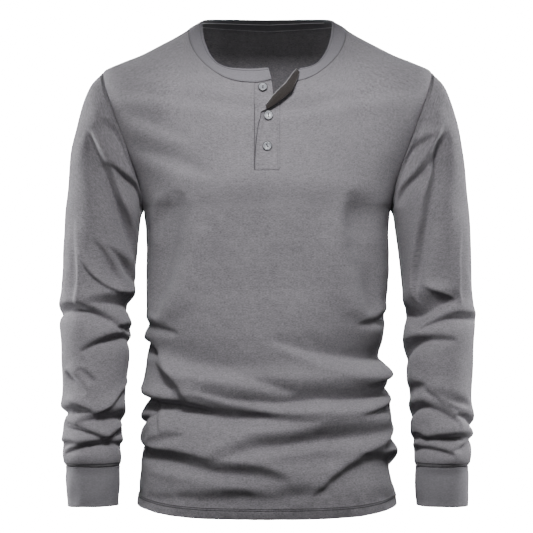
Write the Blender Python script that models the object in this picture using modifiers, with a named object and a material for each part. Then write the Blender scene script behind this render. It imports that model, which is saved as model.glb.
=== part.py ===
"""Long-sleeved jersey shirt with a three-button neck opening, filled out as when it is worn.

The wearer stands upright and looks along -Y, +Z is up and +X is the wearer's left.
The origin is where the wearer's shoulders carry the shirt. Every piece of cloth is an
open surface given a wall by Solidify. All pieces start from shared seam points and are
then drawn back from the seams, so that no two of them touch.
"""

import math
from collections import namedtuple

import bmesh
import bpy
import numpy as np
from mathutils import Matrix

MM = 0.001

# Driving sizes, in metres
JERSEY_WALL = 0.0012
RIB_WALL = 0.0022
PLACKET_WALL = 0.0014
BAND_BELLY = 0.0008
BAND_END_SEAM_RISE = 0.0045
BAND_END_TOP_RISE = 0.0015
BAND_END_SHARE = 0.75
BAND_END_ROOM = 0.006
SEAM_GAP = 0.0003
UNDERARM_HEIGHT = -0.256
SHOULDER_TIP_HEIGHT = -0.057
NECK_SIDE_HEIGHT = 0.007
HEM_HEIGHT = -0.691
HEM_SIDE_RISE = 0.010
SLOT_LEFT = -0.0182
SLOT_RIGHT = 0.0163
SLOT_BOTTOM = -0.2042
OVER_PLACKET_LIFT = 0.0008
UNDER_PLACKET_DROP = 0.0021
UNDER_DROP_ENDS_AT = -0.104
UNDER_FLUSH_FROM = -0.086
UNDER_SIDE_GAP = 0.0005
UNDER_TOP_SLOPE = 0.0022
OPENING_CLEARANCE = (0.0004, -0.0003)
OPENING_REACH = 0.020
OPENING_TOP = 0.020
OPENING_DEPTHS = (-0.16, -0.04)
BUTTON_RADIUS = 0.006
BUTTON_WALL = 0.0024
BUTTON_HOLE_RADIUS = 0.0009
BUTTON_HOLE_OFFSET = 0.0016
CUFF_TOP = -0.6255
CUFF_BOTTOM = -0.6835

FOLD_RADIUS_TORSO = 0.150
FOLD_RADIUS_SLEEVE = 0.050

# Linear colours
JERSEY_GREY = (0.25, 0.24, 0.25)
BUTTON_GREY = (0.45, 0.46, 0.48)

# How finely the cloth is divided
SHOULDER_STEPS = 6
FRONT_NECK_STEPS = 7
BACK_NECK_STEPS = 5
CUFF_STEPS = 2
BAND_STEPS = 2
UNDER_COLUMNS = 5
RIDGE_POINTS = 25
BUTTON_SIDES = 20
HOLE_SIDES = 8

# The rolled edge of the buttonhole side, in millimetres: its flap turns back over a
# small round edge and bellies out a little
ROLL_SHARE = 0.12
ROLL_RISE = 1.1
FLAP_BELLY = 1.6
FIRST_ROLLED_ROW = 7

# The worn torso as level rings, in millimetres. Depths are measured from ridge_y, and a
# roundness of 2 is an ellipse while more is squarer.
TorsoRing = namedtuple(
    "TorsoRing", "height half_width front_depth back_depth ridge_y front_round back_round")
TORSO_RINGS = [
    TorsoRing(-705, 189.5, 129, 118, 0, 2.30, 2.30),
    TorsoRing(-640, 184.5, 123, 112, 0, 2.35, 2.30),
    TorsoRing(-560, 180.5, 117, 106, 0, 2.35, 2.30),
    TorsoRing(-480, 176.5, 112, 100, 0, 2.40, 2.35),
    TorsoRing(-380, 174.5, 112, 96, 0, 2.40, 2.35),
    TorsoRing(-300, 175.5, 119, 102, 0, 2.40, 2.35),
    TorsoRing(-270, 177.5, 123, 107, 0, 2.35, 2.35),
    TorsoRing(-256, 179.2, 124, 109, 0, 2.35, 2.35),
    TorsoRing(-247, 182.6, 124, 110, 0, 2.35, 2.35),
    TorsoRing(-226, 190.0, 124, 112, 0, 2.35, 2.35),
    TorsoRing(-197, 204.5, 123, 113, 0, 2.30, 2.30),
    TorsoRing(-165, 219.5, 120, 113, 0, 2.35, 2.35),
    TorsoRing(-131, 232.5, 113, 110, 0, 2.45, 2.45),
    TorsoRing(-99, 239.0, 106, 105, 0, 2.55, 2.55),
    TorsoRing(-72, 240.5, 93, 100, 0, 2.45, 2.50),
    TorsoRing(-57, 238.0, 82, 97, 1, 2.30, 2.40),
    TorsoRing(-44, 214.0, 71, 93, 3, 2.20, 2.35),
    TorsoRing(-32, 185.0, 60, 89, 5, 2.10, 2.35),
    TorsoRing(-17, 156.0, 46, 85, 7, 2.05, 2.40),
    TorsoRing(-2, 128.5, 28, 80, 9, 2.00, 2.50),
    TorsoRing(7, 115.0, 14, 77, 10, 2.00, 2.60),
    TorsoRing(18, 107.0, 6, 75, 11, 2.00, 2.60),
]

# The armhole seam from the underarm up to the tip of the shoulder, in millimetres
ArmholePoint = namedtuple("ArmholePoint", "height side")
ARMHOLE = [
    ArmholePoint(-256, 179.2),
    ArmholePoint(-247, 179.4),
    ArmholePoint(-226, 182.5),
    ArmholePoint(-197, 191.0),
    ArmholePoint(-165, 202.5),
    ArmholePoint(-131, 215.0),
    ArmholePoint(-99, 226.5),
    ArmholePoint(-72, 235.0),
    ArmholePoint(-57, 238.0),
]

# The neckline seam and the top edge of the neckband, for half the neck, in millimetres.
NeckPoint = namedtuple("NeckPoint", "seam_x seam_z top_x top_y top_z")
FRONT_NECK = [
    NeckPoint(0, -81.0, 0, -88, -60.5),
    NeckPoint(36, -79.0, 31, -85, -60.0),
    NeckPoint(58, -73.0, 50, -77, -58.0),
    NeckPoint(82, -57.0, 69, -61, -50.0),
    NeckPoint(102, -34.0, 84, -38, -30.0),
    NeckPoint(112, -11.0, 92, -11, -6.0),
    NeckPoint(115, 7.0, 96, 9, 18.0),
]
BACK_NECK = [
    NeckPoint(0, 11.0, 0, 69, 27.0),
    NeckPoint(50, 13.5, 42, 63, 27.0),
    NeckPoint(90, 15.0, 76, 47, 25.5),
    NeckPoint(109, 12.0, 91, 27, 22.5),
    NeckPoint(115, 7.0, 96, 9, 18.0),
]

# One sleeve as rings from the armhole to the wrist, in millimetres: the point beside the
# body, the outermost point, half the depth and how far the ring's middle is moved in y.
SleeveRing = namedtuple(
    "SleeveRing", "inner_x inner_z outer_x outer_z half_depth middle_y")
SLEEVE_RINGS = [
    SleeveRing(179.2, -256, 238.0, -57, 57, 0),
    SleeveRing(181.6, -262, 257.0, -78, 61, 0),
    SleeveRing(183.2, -268, 270.5, -113, 64, 1),
    SleeveRing(184.2, -275, 279.5, -146, 66, 1),
    SleeveRing(185.2, -284, 285.5, -184, 67, 2),
    SleeveRing(186.4, -294, 289.5, -226, 66, 2),
    SleeveRing(188.2, -307, 293.0, -266, 64, 3),
    SleeveRing(190.2, -325, 295.5, -304, 61, 3),
    SleeveRing(192.6, -350, 297.0, -340, 58, 4),
    SleeveRing(195.0, -374, 298.0, -372, 55, 4),
    SleeveRing(197.6, -394, 299.5, -394, 53, 3),
    SleeveRing(199.2, -413, 302.0, -415, 53, 2),
    SleeveRing(198.4, -433, 300.5, -435, 52, 0),
    SleeveRing(199.2, -460, 298.5, -460, 50, -2),
    SleeveRing(202.0, -490, 297.0, -488, 48, -5),
    SleeveRing(204.6, -516, 295.8, -514, 47, -8),
    SleeveRing(206.2, -538, 295.2, -536, 46, -11),
    SleeveRing(206.4, -556, 295.2, -555, 45, -13),
    SleeveRing(208.2, -574, 295.2, -573, 44, -15),
    SleeveRing(209.2, -590, 295.4, -590, 43, -17),
    SleeveRing(210.0, -605, 295.2, -606, 41, -18),
    SleeveRing(210.6, -617, 293.5, -618, 38, -19),
    SleeveRing(212.6, -625, 290.2, -625, 34, -19),
]
HEAD_RINGS = 5
CuffRing = namedtuple("CuffRing", "inner_x outer_x half_depth middle_y")
CUFF_TOP_RING = CuffRing(212.6, 290.0, 33.5, -19)
CUFF_BOTTOM_RING = CuffRing(214.4, 288.0, 31.5, -22)

# Folds run between two points given by a turn from straight ahead (degrees, towards the
# wearer's left) and a height. The ridge lies above the trough. All lengths are millimetres.
Fold = namedtuple(
    "Fold", "turn_from height_from turn_to height_to sag ridge trough ridge_width trough_width")
TORSO_FOLDS = [
    Fold(-86, -446, -52, -522, 0, 8, 10, 15, 13),
    Fold(-74, -527, 26, -550, 8, 8, 13, 17, 13),
    Fold(-8, -520, 88, -516, 9, 9, 10, 19, 14),
    Fold(-30, -592, 54, -563, 4, 4, 6, 18, 16),
    Fold(-84, -588, 4, -632, 5, 5, 9, 18, 14),
    Fold(96, -634, 58, -606, -4, 4, 8, 16, 13),
    Fold(60, -612, 30, -670, 4, 4, 7, 16, 14),
    Fold(-60, -661, 28, -650, 5, 3, 4, 16, 14),
    Fold(92, -486, 68, -508, 2, 4, 9, 12, 11),
    Fold(-92, -305, -46, -252, 6, 3, 5, 22, 20),
    Fold(88, -320, 68, -240, 0, 3, 5, 22, 20),
    Fold(112, -520, 176, -548, 8, 8, 11, 18, 14),
    Fold(-118, -505, -172, -528, 6, 7, 10, 18, 14),
    Fold(150, -590, 214, -604, 8, 6, 9, 18, 15),
    Fold(104, -590, 146, -628, 4, 5, 8, 16, 14),
    Fold(-100, -628, -150, -652, 5, 5, 7, 16, 14),
    Fold(126, -455, 222, -470, 9, 6, 8, 20, 16),
    Fold(96, -300, 140, -250, 6, 3, 5, 22, 20),
    Fold(-96, -300, -140, -246, 6, 3, 5, 22, 20),
]
# Turns on a sleeve start beside the body and go over its front to its outer side.
RIGHT_SLEEVE_FOLDS = [
    Fold(2, -262, 96, -150, -8, 4, 5, 15, 13),
    Fold(4, -300, 140, -176, -8, 4, 5, 16, 14),
    Fold(-8, -396, 104, -388, 2, 5, 6, 13, 10),
    Fold(36, -424, 196, -406, 6, 7, 8, 14, 11),
    Fold(12, -446, 100, -436, 2, 4, 5, 12, 10),
    Fold(20, -546, 170, -540, 3, 5, 5, 11, 9),
    Fold(40, -568, 190, -562, 5, 5, 6, 11, 9),
    Fold(-10, -590, 150, -584, 3, 5, 5, 11, 9),
    Fold(60, -607, 210, -604, 2, 4, 4, 9, 8),
    Fold(200, -420, 330, -404, 5, 7, 8, 15, 12),
    Fold(190, -560, 340, -556, 4, 5, 5, 12, 10),
    Fold(200, -588, 350, -592, 3, 5, 5, 11, 9),
    Fold(350, -266, 262, -160, -8, 4, 5, 16, 14),
]
LEFT_SLEEVE_FOLDS = [
    Fold(2, -266, 110, -168, -8, 5, 6, 16, 13),
    Fold(14, -300, 130, -206, -6, 4, 5, 16, 14),
    Fold(30, -400, 176, -376, 9, 7, 8, 15, 12),
    Fold(70, -418, 190, -410, 2, 4, 5, 12, 10),
    Fold(-6, -456, 112, -436, 3, 4, 5, 13, 11),
    Fold(60, -516, 170, -546, 2, 4, 5, 13, 11),
    Fold(6, -548, 140, -556, -5, 5, 5, 12, 9),
    Fold(-10, -584, 196, -586, 3, 6, 7, 12, 9),
    Fold(30, -602, 150, -604, 2, 4, 4, 9, 8),
    Fold(200, -398, 334, -380, 5, 7, 8, 15, 12),
    Fold(188, -540, 338, -552, 4, 5, 5, 12, 10),
    Fold(196, -580, 352, -578, 3, 5, 6, 11, 9),
    Fold(352, -266, 260, -172, -8, 4, 5, 16, 14),
]

# The button stand under the opening: its right edge, in millimetres
UnderRow = namedtuple("UnderRow", "height right")
UNDER_ROWS = [
    UnderRow(-202.5, 12.0),
    UnderRow(-180.0, 11.5),
    UnderRow(-155.0, 11.0),
    UnderRow(-130.0, 10.0),
    UnderRow(-112.0, 9.0),
    UnderRow(-98.0, 7.8),
    UnderRow(-87.0, 6.4),
    UnderRow(-79.6, 5.2),
]

# The buttonhole side from its foot up to the neckband: where it is sewn on, where it
# rolls over and where its free edge lies, in millimetres. A lift is in front of the chest.
OverRow = namedtuple(
    "OverRow", "sewn_x sewn_z roll_x roll_z roll_lift edge_x edge_z edge_lift")
OVER_ROWS = [
    OverRow(15.9, -203.4, 0.0, -203.7, 0.0, -17.7, -203.9, 0.0),
    OverRow(15.9, -178.0, -0.5, -178.0, 0.0, -16.6, -178.0, 0.0),
    OverRow(15.9, -155.0, -1.5, -155.0, 0.0, -14.6, -155.0, 0.0),
    OverRow(15.9, -139.0, -3.0, -139.0, 0.0, -12.2, -139.0, 0.0),
    OverRow(15.9, -129.5, -4.0, -129.5, 0.0, -9.4, -129.5, 0.2),
    OverRow(15.9, -122.5, -4.4, -121.6, 0.3, -8.6, -123.4, 2.2),
    OverRow(15.9, -117.0, -2.4, -115.0, 1.2, -3.2, -120.0, 5.2),
    OverRow(15.9, -110.5, 2.8, -108.2, 2.0, 6.4, -115.2, 6.2),
    OverRow(16.0, -101.5, 11.0, -97.5, 2.6, 19.0, -106.0, 8.4),
    OverRow(22.3, -92.5, 18.5, -89.5, 2.8, 27.0, -99.0, 9.6),
    OverRow(29.0, -85.2, 25.5, -82.4, 2.8, 34.0, -92.5, 9.6),
    OverRow(34.4, -77.8, 31.5, -74.5, 2.8, 38.0, -84.0, 8.4),
    OverRow(39.0, -70.4, 37.0, -66.8, 2.6, 41.6, -75.0, 6.4),
    OverRow(42.6, -65.0, 41.6, -61.6, 2.4, 44.4, -66.4, 5.0),
]
# The neckband ends, in millimetres from the middle, at its seam and at its top edge
BandEnd = namedtuple("BandEnd", "seam_x top_x")
BAND_END_UNDER = BandEnd(5.0, 0.5)
BAND_END_OVER = BandEnd(36.3, 46.5)

ButtonPlace = namedtuple("ButtonPlace", "name x z lift tilt")
BUTTONS = [
    ButtonPlace("button_top", -6.2, -87.5, 0.35, -12),
    ButtonPlace("button_middle", 1.6, -128.0, 1.7, 4),
    ButtonPlace("button_bottom", 0.0, -171.0, 1.3, 0),
]

# Heights of the rows of the panels below the underarm, in millimetres
PANEL_ROWS = [-691, -666, -642, -624, -607, -590, -573, -557, -542, -527, -512, -496,
              -478, -456, -426, -386, -340, -295, -256]
FRONT_TURNS = 2 * (SHOULDER_STEPS + FRONT_NECK_STEPS)
BACK_TURNS = 2 * (SHOULDER_STEPS + BACK_NECK_STEPS)


def column(rows, name):
    """Return one named column of a table, in the table's units."""
    return np.array([getattr(row, name) for row in rows], dtype=float)


def smooth_value(where, stops, values):
    """Return a smooth curve through the values that never overshoots them."""
    order = np.argsort(stops)
    stops = np.asarray(stops, dtype=float)[order]
    values = np.asarray(values, dtype=float)[order]
    steps = np.diff(stops)
    slopes = np.diff(values) / steps
    tangents = np.zeros(len(stops))
    tangents[0] = slopes[0]
    tangents[-1] = slopes[-1]
    for i in range(1, len(stops) - 1):
        if slopes[i - 1] * slopes[i] > 0:
            weight_a = 2 * steps[i] + steps[i - 1]
            weight_b = steps[i] + 2 * steps[i - 1]
            tangents[i] = (weight_a + weight_b) / (weight_a / slopes[i - 1] + weight_b / slopes[i])
    where = np.clip(where, stops[0], stops[-1])
    place = np.clip(np.searchsorted(stops, where) - 1, 0, len(steps) - 1)
    part = (where - stops[place]) / steps[place]
    share = part * part * (3 - 2 * part)
    rise = steps[place] * (tangents[place] * part * (1 - part) ** 2
                           - tangents[place + 1] * (1 - part) * part ** 2)
    return values[place] + (values[place + 1] - values[place]) * share + rise


def torso_value(name, height):
    """Return one column of the torso's rings at a height, both in metres."""
    unit = 1.0 if name.endswith("round") else MM
    return smooth_value(np.asarray(height) / MM, column(TORSO_RINGS, "height"),
                        column(TORSO_RINGS, name)) * unit


def torso_y(side, height, front):
    """Return y on the front or back of the worn torso."""
    depth = torso_value("front_depth" if front else "back_depth", height)
    power = torso_value("front_round" if front else "back_round", height)
    share = np.clip(np.abs(side) / torso_value("half_width", height), 0, 1)
    reach = depth * np.clip(1 - share ** power, 0, 1) ** (1 / power)
    return torso_value("ridge_y", height) + (-reach if front else reach)


def torso_side(turn, height, front):
    """Return x on the worn torso for a turn from the middle of the panel."""
    power = torso_value("front_round" if front else "back_round", height)
    swing = np.sign(np.sin(turn)) * np.abs(np.sin(turn)) ** (2 / power)
    return torso_value("half_width", height) * swing


def torso_outward(points, front):
    """Return the level direction out of the torso at each point."""
    side, depth_way, height = points[..., 0], points[..., 1], points[..., 2]
    half_width = torso_value("half_width", height)
    depth = torso_value("front_depth" if front else "back_depth", height)
    power = torso_value("front_round" if front else "back_round", height)
    off = depth_way - torso_value("ridge_y", height)
    out_x = np.sign(side) * np.abs(side / half_width) ** (power - 1) / half_width
    out_y = np.sign(off) * np.abs(off / depth) ** (power - 1) / depth
    length = np.hypot(out_x, out_y)
    return np.stack([out_x / length, out_y / length, np.zeros_like(out_x)], axis=-1)


def relief(turns, heights, folds, radius):
    """Return how far folded cloth stands out at each turn (degrees) and height (metres)."""
    total = np.zeros_like(heights)
    for fold in folds:
        middle = (fold.turn_from + fold.turn_to) / 2
        turned = (turns - middle + 180) % 360 - 180 + middle
        run = np.radians(fold.turn_to - fold.turn_from) * radius
        rise = (fold.height_to - fold.height_from) * MM
        length = math.hypot(run, rise)
        along_x, along_z = run / length, rise / length
        flip = 1.0 if along_x > 0 else -1.0
        x = np.radians(turned - fold.turn_from) * radius
        z = heights - fold.height_from * MM
        part = np.clip((x * along_x + z * along_z) / length, 0, 1)
        across = flip * (z * along_x - x * along_z)
        across = across + 4 * fold.sag * MM * part * (1 - part)
        beyond = (x * along_x + z * along_z) / length - part
        fade = np.sin(np.pi * part) ** 0.6 * np.exp(-(beyond * 6) ** 2)
        ridge = fold.ridge * np.exp(-(across / (fold.ridge_width * MM) - 1) ** 2)
        trough = fold.trough * np.exp(-(across / (fold.trough_width * MM)) ** 2)
        total = total + MM * fade * (ridge - trough)
    return total


def torso_turns(points):
    """Return each point's turn from straight ahead, in degrees."""
    return np.degrees(np.arctan2(points[..., 0], -points[..., 1]))


def spread_along(points, steps):
    """Return steps + 1 points evenly spaced along a smooth line through the points."""
    points = np.asarray(points, dtype=float)
    marks = np.concatenate([[0], np.cumsum(np.linalg.norm(np.diff(points, axis=0), axis=1))])
    wanted = np.linspace(0, marks[-1], steps + 1)
    return np.stack([smooth_value(wanted, marks, points[:, axis])
                     for axis in range(points.shape[1])], axis=-1)


def half_neck(front):
    """Return the neckline from the middle to the shoulder: seam x, z and top x, y, z."""
    rows = FRONT_NECK if front else BACK_NECK
    steps = FRONT_NECK_STEPS if front else BACK_NECK_STEPS
    return spread_along(rows, steps) * MM


def shoulder_ridge():
    """Return x, z along the ridge from the tip of the shoulder to the side of the neck."""
    heights = np.linspace(SHOULDER_TIP_HEIGHT, NECK_SIDE_HEIGHT, RIDGE_POINTS)
    line = np.column_stack([torso_value("half_width", heights), heights])
    even = spread_along(line, SHOULDER_STEPS)
    even[:, 0] = torso_value("half_width", even[:, 1])
    return even


def top_edge(front):
    """Return x, z along the top of a panel from the wearer's right to the left."""
    neck = half_neck(front)[::-1, :2]
    half = np.concatenate([shoulder_ridge(), neck[1:]])
    return np.concatenate([half * np.array([-1, 1]), half[::-1][1:]])


def panel_grid(front):
    """Return the points of a panel: a row for each height, from right to left."""
    turns = np.linspace(-math.pi / 2, math.pi / 2, (FRONT_TURNS if front else BACK_TURNS) + 1)
    rows = []
    for mark in PANEL_ROWS:
        share = (mark * MM - UNDERARM_HEIGHT) / (HEM_HEIGHT - UNDERARM_HEIGHT)
        hem = HEM_HEIGHT + HEM_SIDE_RISE * np.sin(turns) ** 4
        height = UNDERARM_HEIGHT + share * (hem - UNDERARM_HEIGHT)
        side = torso_side(turns, height, front)
        rows.append(np.stack([side, height], axis=-1))
    floor = rows[-1]
    top = top_edge(front)
    across = np.linspace(0, 1, len(turns))[:, None]
    for step, mark in enumerate(ARMHOLE[1:], 1):
        up = step / (len(ARMHOLE) - 1)
        right = np.array([-mark.side, mark.height]) * MM
        left = np.array([mark.side, mark.height]) * MM
        straight = (1 - up) * floor + up * top
        right_off = right - (1 - up) * floor[0] - up * top[0]
        left_off = left - (1 - up) * floor[-1] - up * top[-1]
        rows.append(straight + (1 - across) * right_off + across * left_off)
    flat = np.array(rows)
    depth = torso_y(flat[..., 0], flat[..., 1], front)
    depth[:len(PANEL_ROWS), 0] = 0
    depth[:len(PANEL_ROWS), -1] = 0
    ridge = torso_value("ridge_y", flat[-1, :SHOULDER_STEPS + 1, 1])
    depth[-1, :SHOULDER_STEPS + 1] = ridge
    depth[-1, -SHOULDER_STEPS - 1:] = ridge[::-1]
    points = np.stack([flat[..., 0], depth, flat[..., 1]], axis=-1)
    lift = relief(torso_turns(points), points[..., 2], TORSO_FOLDS, FOLD_RADIUS_TORSO)
    return points + torso_outward(points, front) * lift[..., None]


def armhole_loop(front_grid, back_grid, left):
    """Return the armhole seam from the underarm over the front and down the back."""
    rows = slice(len(PANEL_ROWS) - 1, None)
    side = -1 if left else 0
    front = front_grid[rows, side]
    back = back_grid[rows, side]
    return np.concatenate([front, back[-2:0:-1]])


def sleeve_grid(loop, folds, left):
    """Return a sleeve's points: a closed ring in each row, from the armhole down."""
    sign = 1.0 if left else -1.0
    count = len(loop)
    angles = np.linspace(0, 2 * math.pi, count, endpoint=False)
    first = SLEEVE_RINGS[0]
    inner = np.array([first.inner_x, 0, first.inner_z]) * MM
    outer = np.array([first.outer_x, 0, first.outer_z]) * MM
    span = outer - inner
    local = loop * np.array([sign, 1, 1])
    seam_share = (local - inner) @ span / (span @ span)
    seam_depth = local[:, 1] / (first.half_depth * MM)
    seam_rest = local - inner - seam_share[:, None] * span
    seam_rest[:, 1] = 0
    rows = []
    for step, ring in enumerate(SLEEVE_RINGS):
        blend = min(step / HEAD_RINGS, 1.0)
        blend = blend * blend * (3 - 2 * blend)
        inner = np.array([ring.inner_x, ring.middle_y, ring.inner_z]) * MM
        outer = np.array([ring.outer_x, ring.middle_y, ring.outer_z]) * MM
        share = (1 - blend) * seam_share + blend * (1 - np.cos(angles)) / 2
        depth = (1 - blend) * seam_depth - blend * np.sin(angles)
        points = inner + share[:, None] * (outer - inner) + (1 - blend) * seam_rest
        points[:, 1] += depth * ring.half_depth * MM
        if step:
            fade = min(1.0, step / HEAD_RINGS + 0.2)
            lift = relief(np.degrees(angles), points[:, 2], folds, FOLD_RADIUS_SLEEVE) * fade
            middle = (inner + outer) / 2
            out = points - middle
            out[:, 1] *= np.linalg.norm(outer - inner) / (2 * ring.half_depth * MM)
            out /= np.linalg.norm(out, axis=1)[:, None]
            points = points + out * lift[:, None]
        rows.append(points * np.array([sign, 1, 1]))
    return np.array(rows)


def cuff_grid(left):
    """Return a cuff's points: a closed ring in each row, from its seam down."""
    sign = 1.0 if left else -1.0
    count = 2 * (len(ARMHOLE) - 1)
    angles = np.linspace(0, 2 * math.pi, count, endpoint=False)
    rows = []
    for step in range(CUFF_STEPS + 1):
        part = step / CUFF_STEPS
        inner, outer, depth, middle = (
            (1 - part) * np.array(CUFF_TOP_RING) + part * np.array(CUFF_BOTTOM_RING)) * MM
        height = CUFF_TOP + part * (CUFF_BOTTOM - CUFF_TOP)
        x = inner + (outer - inner) * (1 - np.cos(angles)) / 2
        rows.append(np.stack(
            [sign * x, middle - depth * np.sin(angles), np.full(count, height)], axis=-1))
    return np.array(rows)


def neck_loop():
    """Return seam and top points round the neck from the left of the opening to its right.

    The loop starts and ends at the middle of the front and is written as the seam's
    x, y, z and the top edge's x, y, z.
    """
    front = half_neck(True)
    back = half_neck(False)
    right = np.concatenate([front, back[::-1][1:]])
    is_front = np.arange(len(right)) <= FRONT_NECK_STEPS
    seam_y = np.where(is_front, torso_y(right[:, 0], right[:, 1], True),
                      torso_y(right[:, 0], right[:, 1], False))
    half = np.column_stack([right[:, 0], seam_y, right[:, 1], right[:, 2:]])
    mirror = np.array([-1, 1, 1, -1, 1, 1])
    return np.concatenate([half * mirror, half[::-1][1:]])


def at_side(line, axis, value):
    """Return the point of a line of points where one coordinate has a value."""
    for start, end in zip(line, line[1:]):
        if (start[axis] - value) * (end[axis] - value) <= 0:
            part = (value - start[axis]) / (end[axis] - start[axis])
            return start + part * (end - start)
    return line[0]


def band_grid(front, back):
    """Return the whole neck loop as rows from the neckline seam to the band's top edge."""
    loop = neck_loop()
    seam, top = loop[:, :3].copy(), loop[:, 3:]
    for grid, is_front in ((front, True), (back, False)):
        for place, where in enumerate(neck_order(is_front)):
            seam[where] = grid[-1, place + SHOULDER_STEPS]
    seam[-1] = seam[0]
    bow = (seam - seam.mean(axis=0)) * np.array([1, 1, 0])
    bow *= BAND_BELLY / np.linalg.norm(bow, axis=1)[:, None]
    rows = []
    for step in range(BAND_STEPS + 1):
        part = step / BAND_STEPS
        rows.append((1 - part) * seam + part * top + 4 * part * (1 - part) * bow)
    return np.array(rows)


def drawn_back(edge, own, other, outward, walls):
    """Return seam points moved into their own piece, so that both walls clear each other.

    Args:
        edge: the shared seam points.
        own: the next points of this piece.
        other: the next points of the piece across the seam.
        outward: the direction out of the cloth at the seam.
        walls: the two walls added together.
    """
    into = own - edge
    into = into / np.linalg.norm(into, axis=-1, keepdims=True)
    beyond = other - edge
    beyond = beyond / np.linalg.norm(beyond, axis=-1, keepdims=True)
    bend = math.pi - np.arccos(np.clip(np.sum(into * beyond, axis=-1), -1, 1))
    leans_in = np.sum((into + beyond) * outward, axis=-1) < 0
    room = SEAM_GAP + np.where(leans_in, walls * np.tan(np.minimum(bend, 2.2) / 2), 0)
    return edge + into * (room / 2)[..., None]


def over_grid():
    """Return the buttonhole side's points: rows from its foot to the neckband."""
    rows = []
    for row in OVER_ROWS:
        sewn = np.array([row.sewn_x, row.sewn_z, 0.0])
        roll = np.array([row.roll_x, row.roll_z, row.roll_lift])
        edge = np.array([row.edge_x, row.edge_z, row.edge_lift])
        turned = row.edge_x > row.roll_x
        turn = roll + (edge - roll) * ROLL_SHARE + np.array([0, 0, ROLL_RISE * turned])
        belly = (roll + edge) / 2 + np.array([0, 0, FLAP_BELLY * turned])
        path = np.array([sewn, (sewn + roll) / 2, roll, turn, belly, edge]) * MM
        y = torso_y(path[:, 0], path[:, 1], True) - path[:, 2] - OVER_PLACKET_LIFT
        rows.append(np.stack([path[:, 0], y, path[:, 1]], axis=-1))
    return np.array(rows)


def under_drop(height):
    """Return how far the button stand lies inside the chest's outer face."""
    part = (height - UNDER_DROP_ENDS_AT) / (UNDER_FLUSH_FROM - UNDER_DROP_ENDS_AT)
    part = np.clip(part, 0, 1)
    return UNDER_PLACKET_DROP * (1 - part * part * (3 - 2 * part))


def under_grid():
    """Return the button stand's points: rows from its foot to the neckband."""
    rows = []
    for row in UNDER_ROWS:
        x = np.linspace(SLOT_LEFT + UNDER_SIDE_GAP, row.right * MM, UNDER_COLUMNS)
        z = np.full(UNDER_COLUMNS, row.height * MM)
        if row is UNDER_ROWS[-1]:
            z = z + np.linspace(-UNDER_TOP_SLOPE, UNDER_TOP_SLOPE, UNDER_COLUMNS)
        rows.append(np.stack([x, torso_y(x, z, True) + under_drop(z), z], axis=-1))
    return np.array(rows)


def new_object(name, points, faces, collection, material):
    """Make one mesh object out of points and faces."""
    mesh = bpy.data.meshes.new(name)
    mesh.from_pydata([tuple(point) for point in points], [], faces)
    mesh.validate()
    mesh.update()
    thing = bpy.data.objects.new(name, mesh)
    collection.objects.link(thing)
    thing.data.materials.append(material)
    return thing


def hide_cutter(cutter):
    """Keep a cutter out of the shirt."""
    cutter.hide_render = True
    cutter.display_type = "WIRE"


def grid_faces(rows, columns, closed, flipped):
    """Return the faces of a grid whose columns may close into a ring."""
    faces = []
    for row in range(rows - 1):
        for start in range(columns if closed else columns - 1):
            end = (start + 1) % columns
            face = (row * columns + start, row * columns + end,
                    (row + 1) * columns + end, (row + 1) * columns + start)
            faces.append(face[::-1] if flipped else face)
    return faces


def cloth(name, grid, wall, collection, material, closed=False, flipped=False):
    """Make a cloth piece: a grid of points with a wall on its inner side."""
    rows, columns = grid.shape[:2]
    faces = grid_faces(rows, columns, closed, flipped)
    thing = new_object(name, grid.reshape(-1, 3), faces, collection, material)
    thing.data.shade_smooth()
    solid = thing.modifiers.new("wall", "SOLIDIFY")
    solid.thickness = wall
    solid.offset = -1.0
    solid.use_even_offset = False
    return thing


def cut_opening(front, cutters):
    """Cut the neck opening out of the front panel, up to the rolled edge."""
    outline = [(SLOT_LEFT, OPENING_TOP), (SLOT_LEFT, SLOT_BOTTOM), (SLOT_RIGHT, SLOT_BOTTOM)]
    for row in OVER_ROWS[FIRST_ROLLED_ROW:]:
        outline.append((row.sewn_x * MM + OPENING_CLEARANCE[0],
                        row.sewn_z * MM + OPENING_CLEARANCE[1]))
    outline.append((outline[-1][0] + OPENING_REACH, OPENING_TOP))
    points = [(x, y, z) for y in OPENING_DEPTHS for x, z in outline]
    count = len(outline)
    faces = [tuple(range(count)), tuple(range(count, 2 * count))[::-1]]
    for start in range(count):
        end = (start + 1) % count
        faces.append((start, count + start, count + end, end))
    material = front.data.materials[0]
    cutter = new_object("opening_cutter", points, faces, cutters, material)
    hide_cutter(cutter)
    cut = front.modifiers.new("opening", "BOOLEAN")
    cut.operation = "DIFFERENCE"
    cut.solver = "EXACT"
    cut.object = cutter
    return cutter


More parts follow.
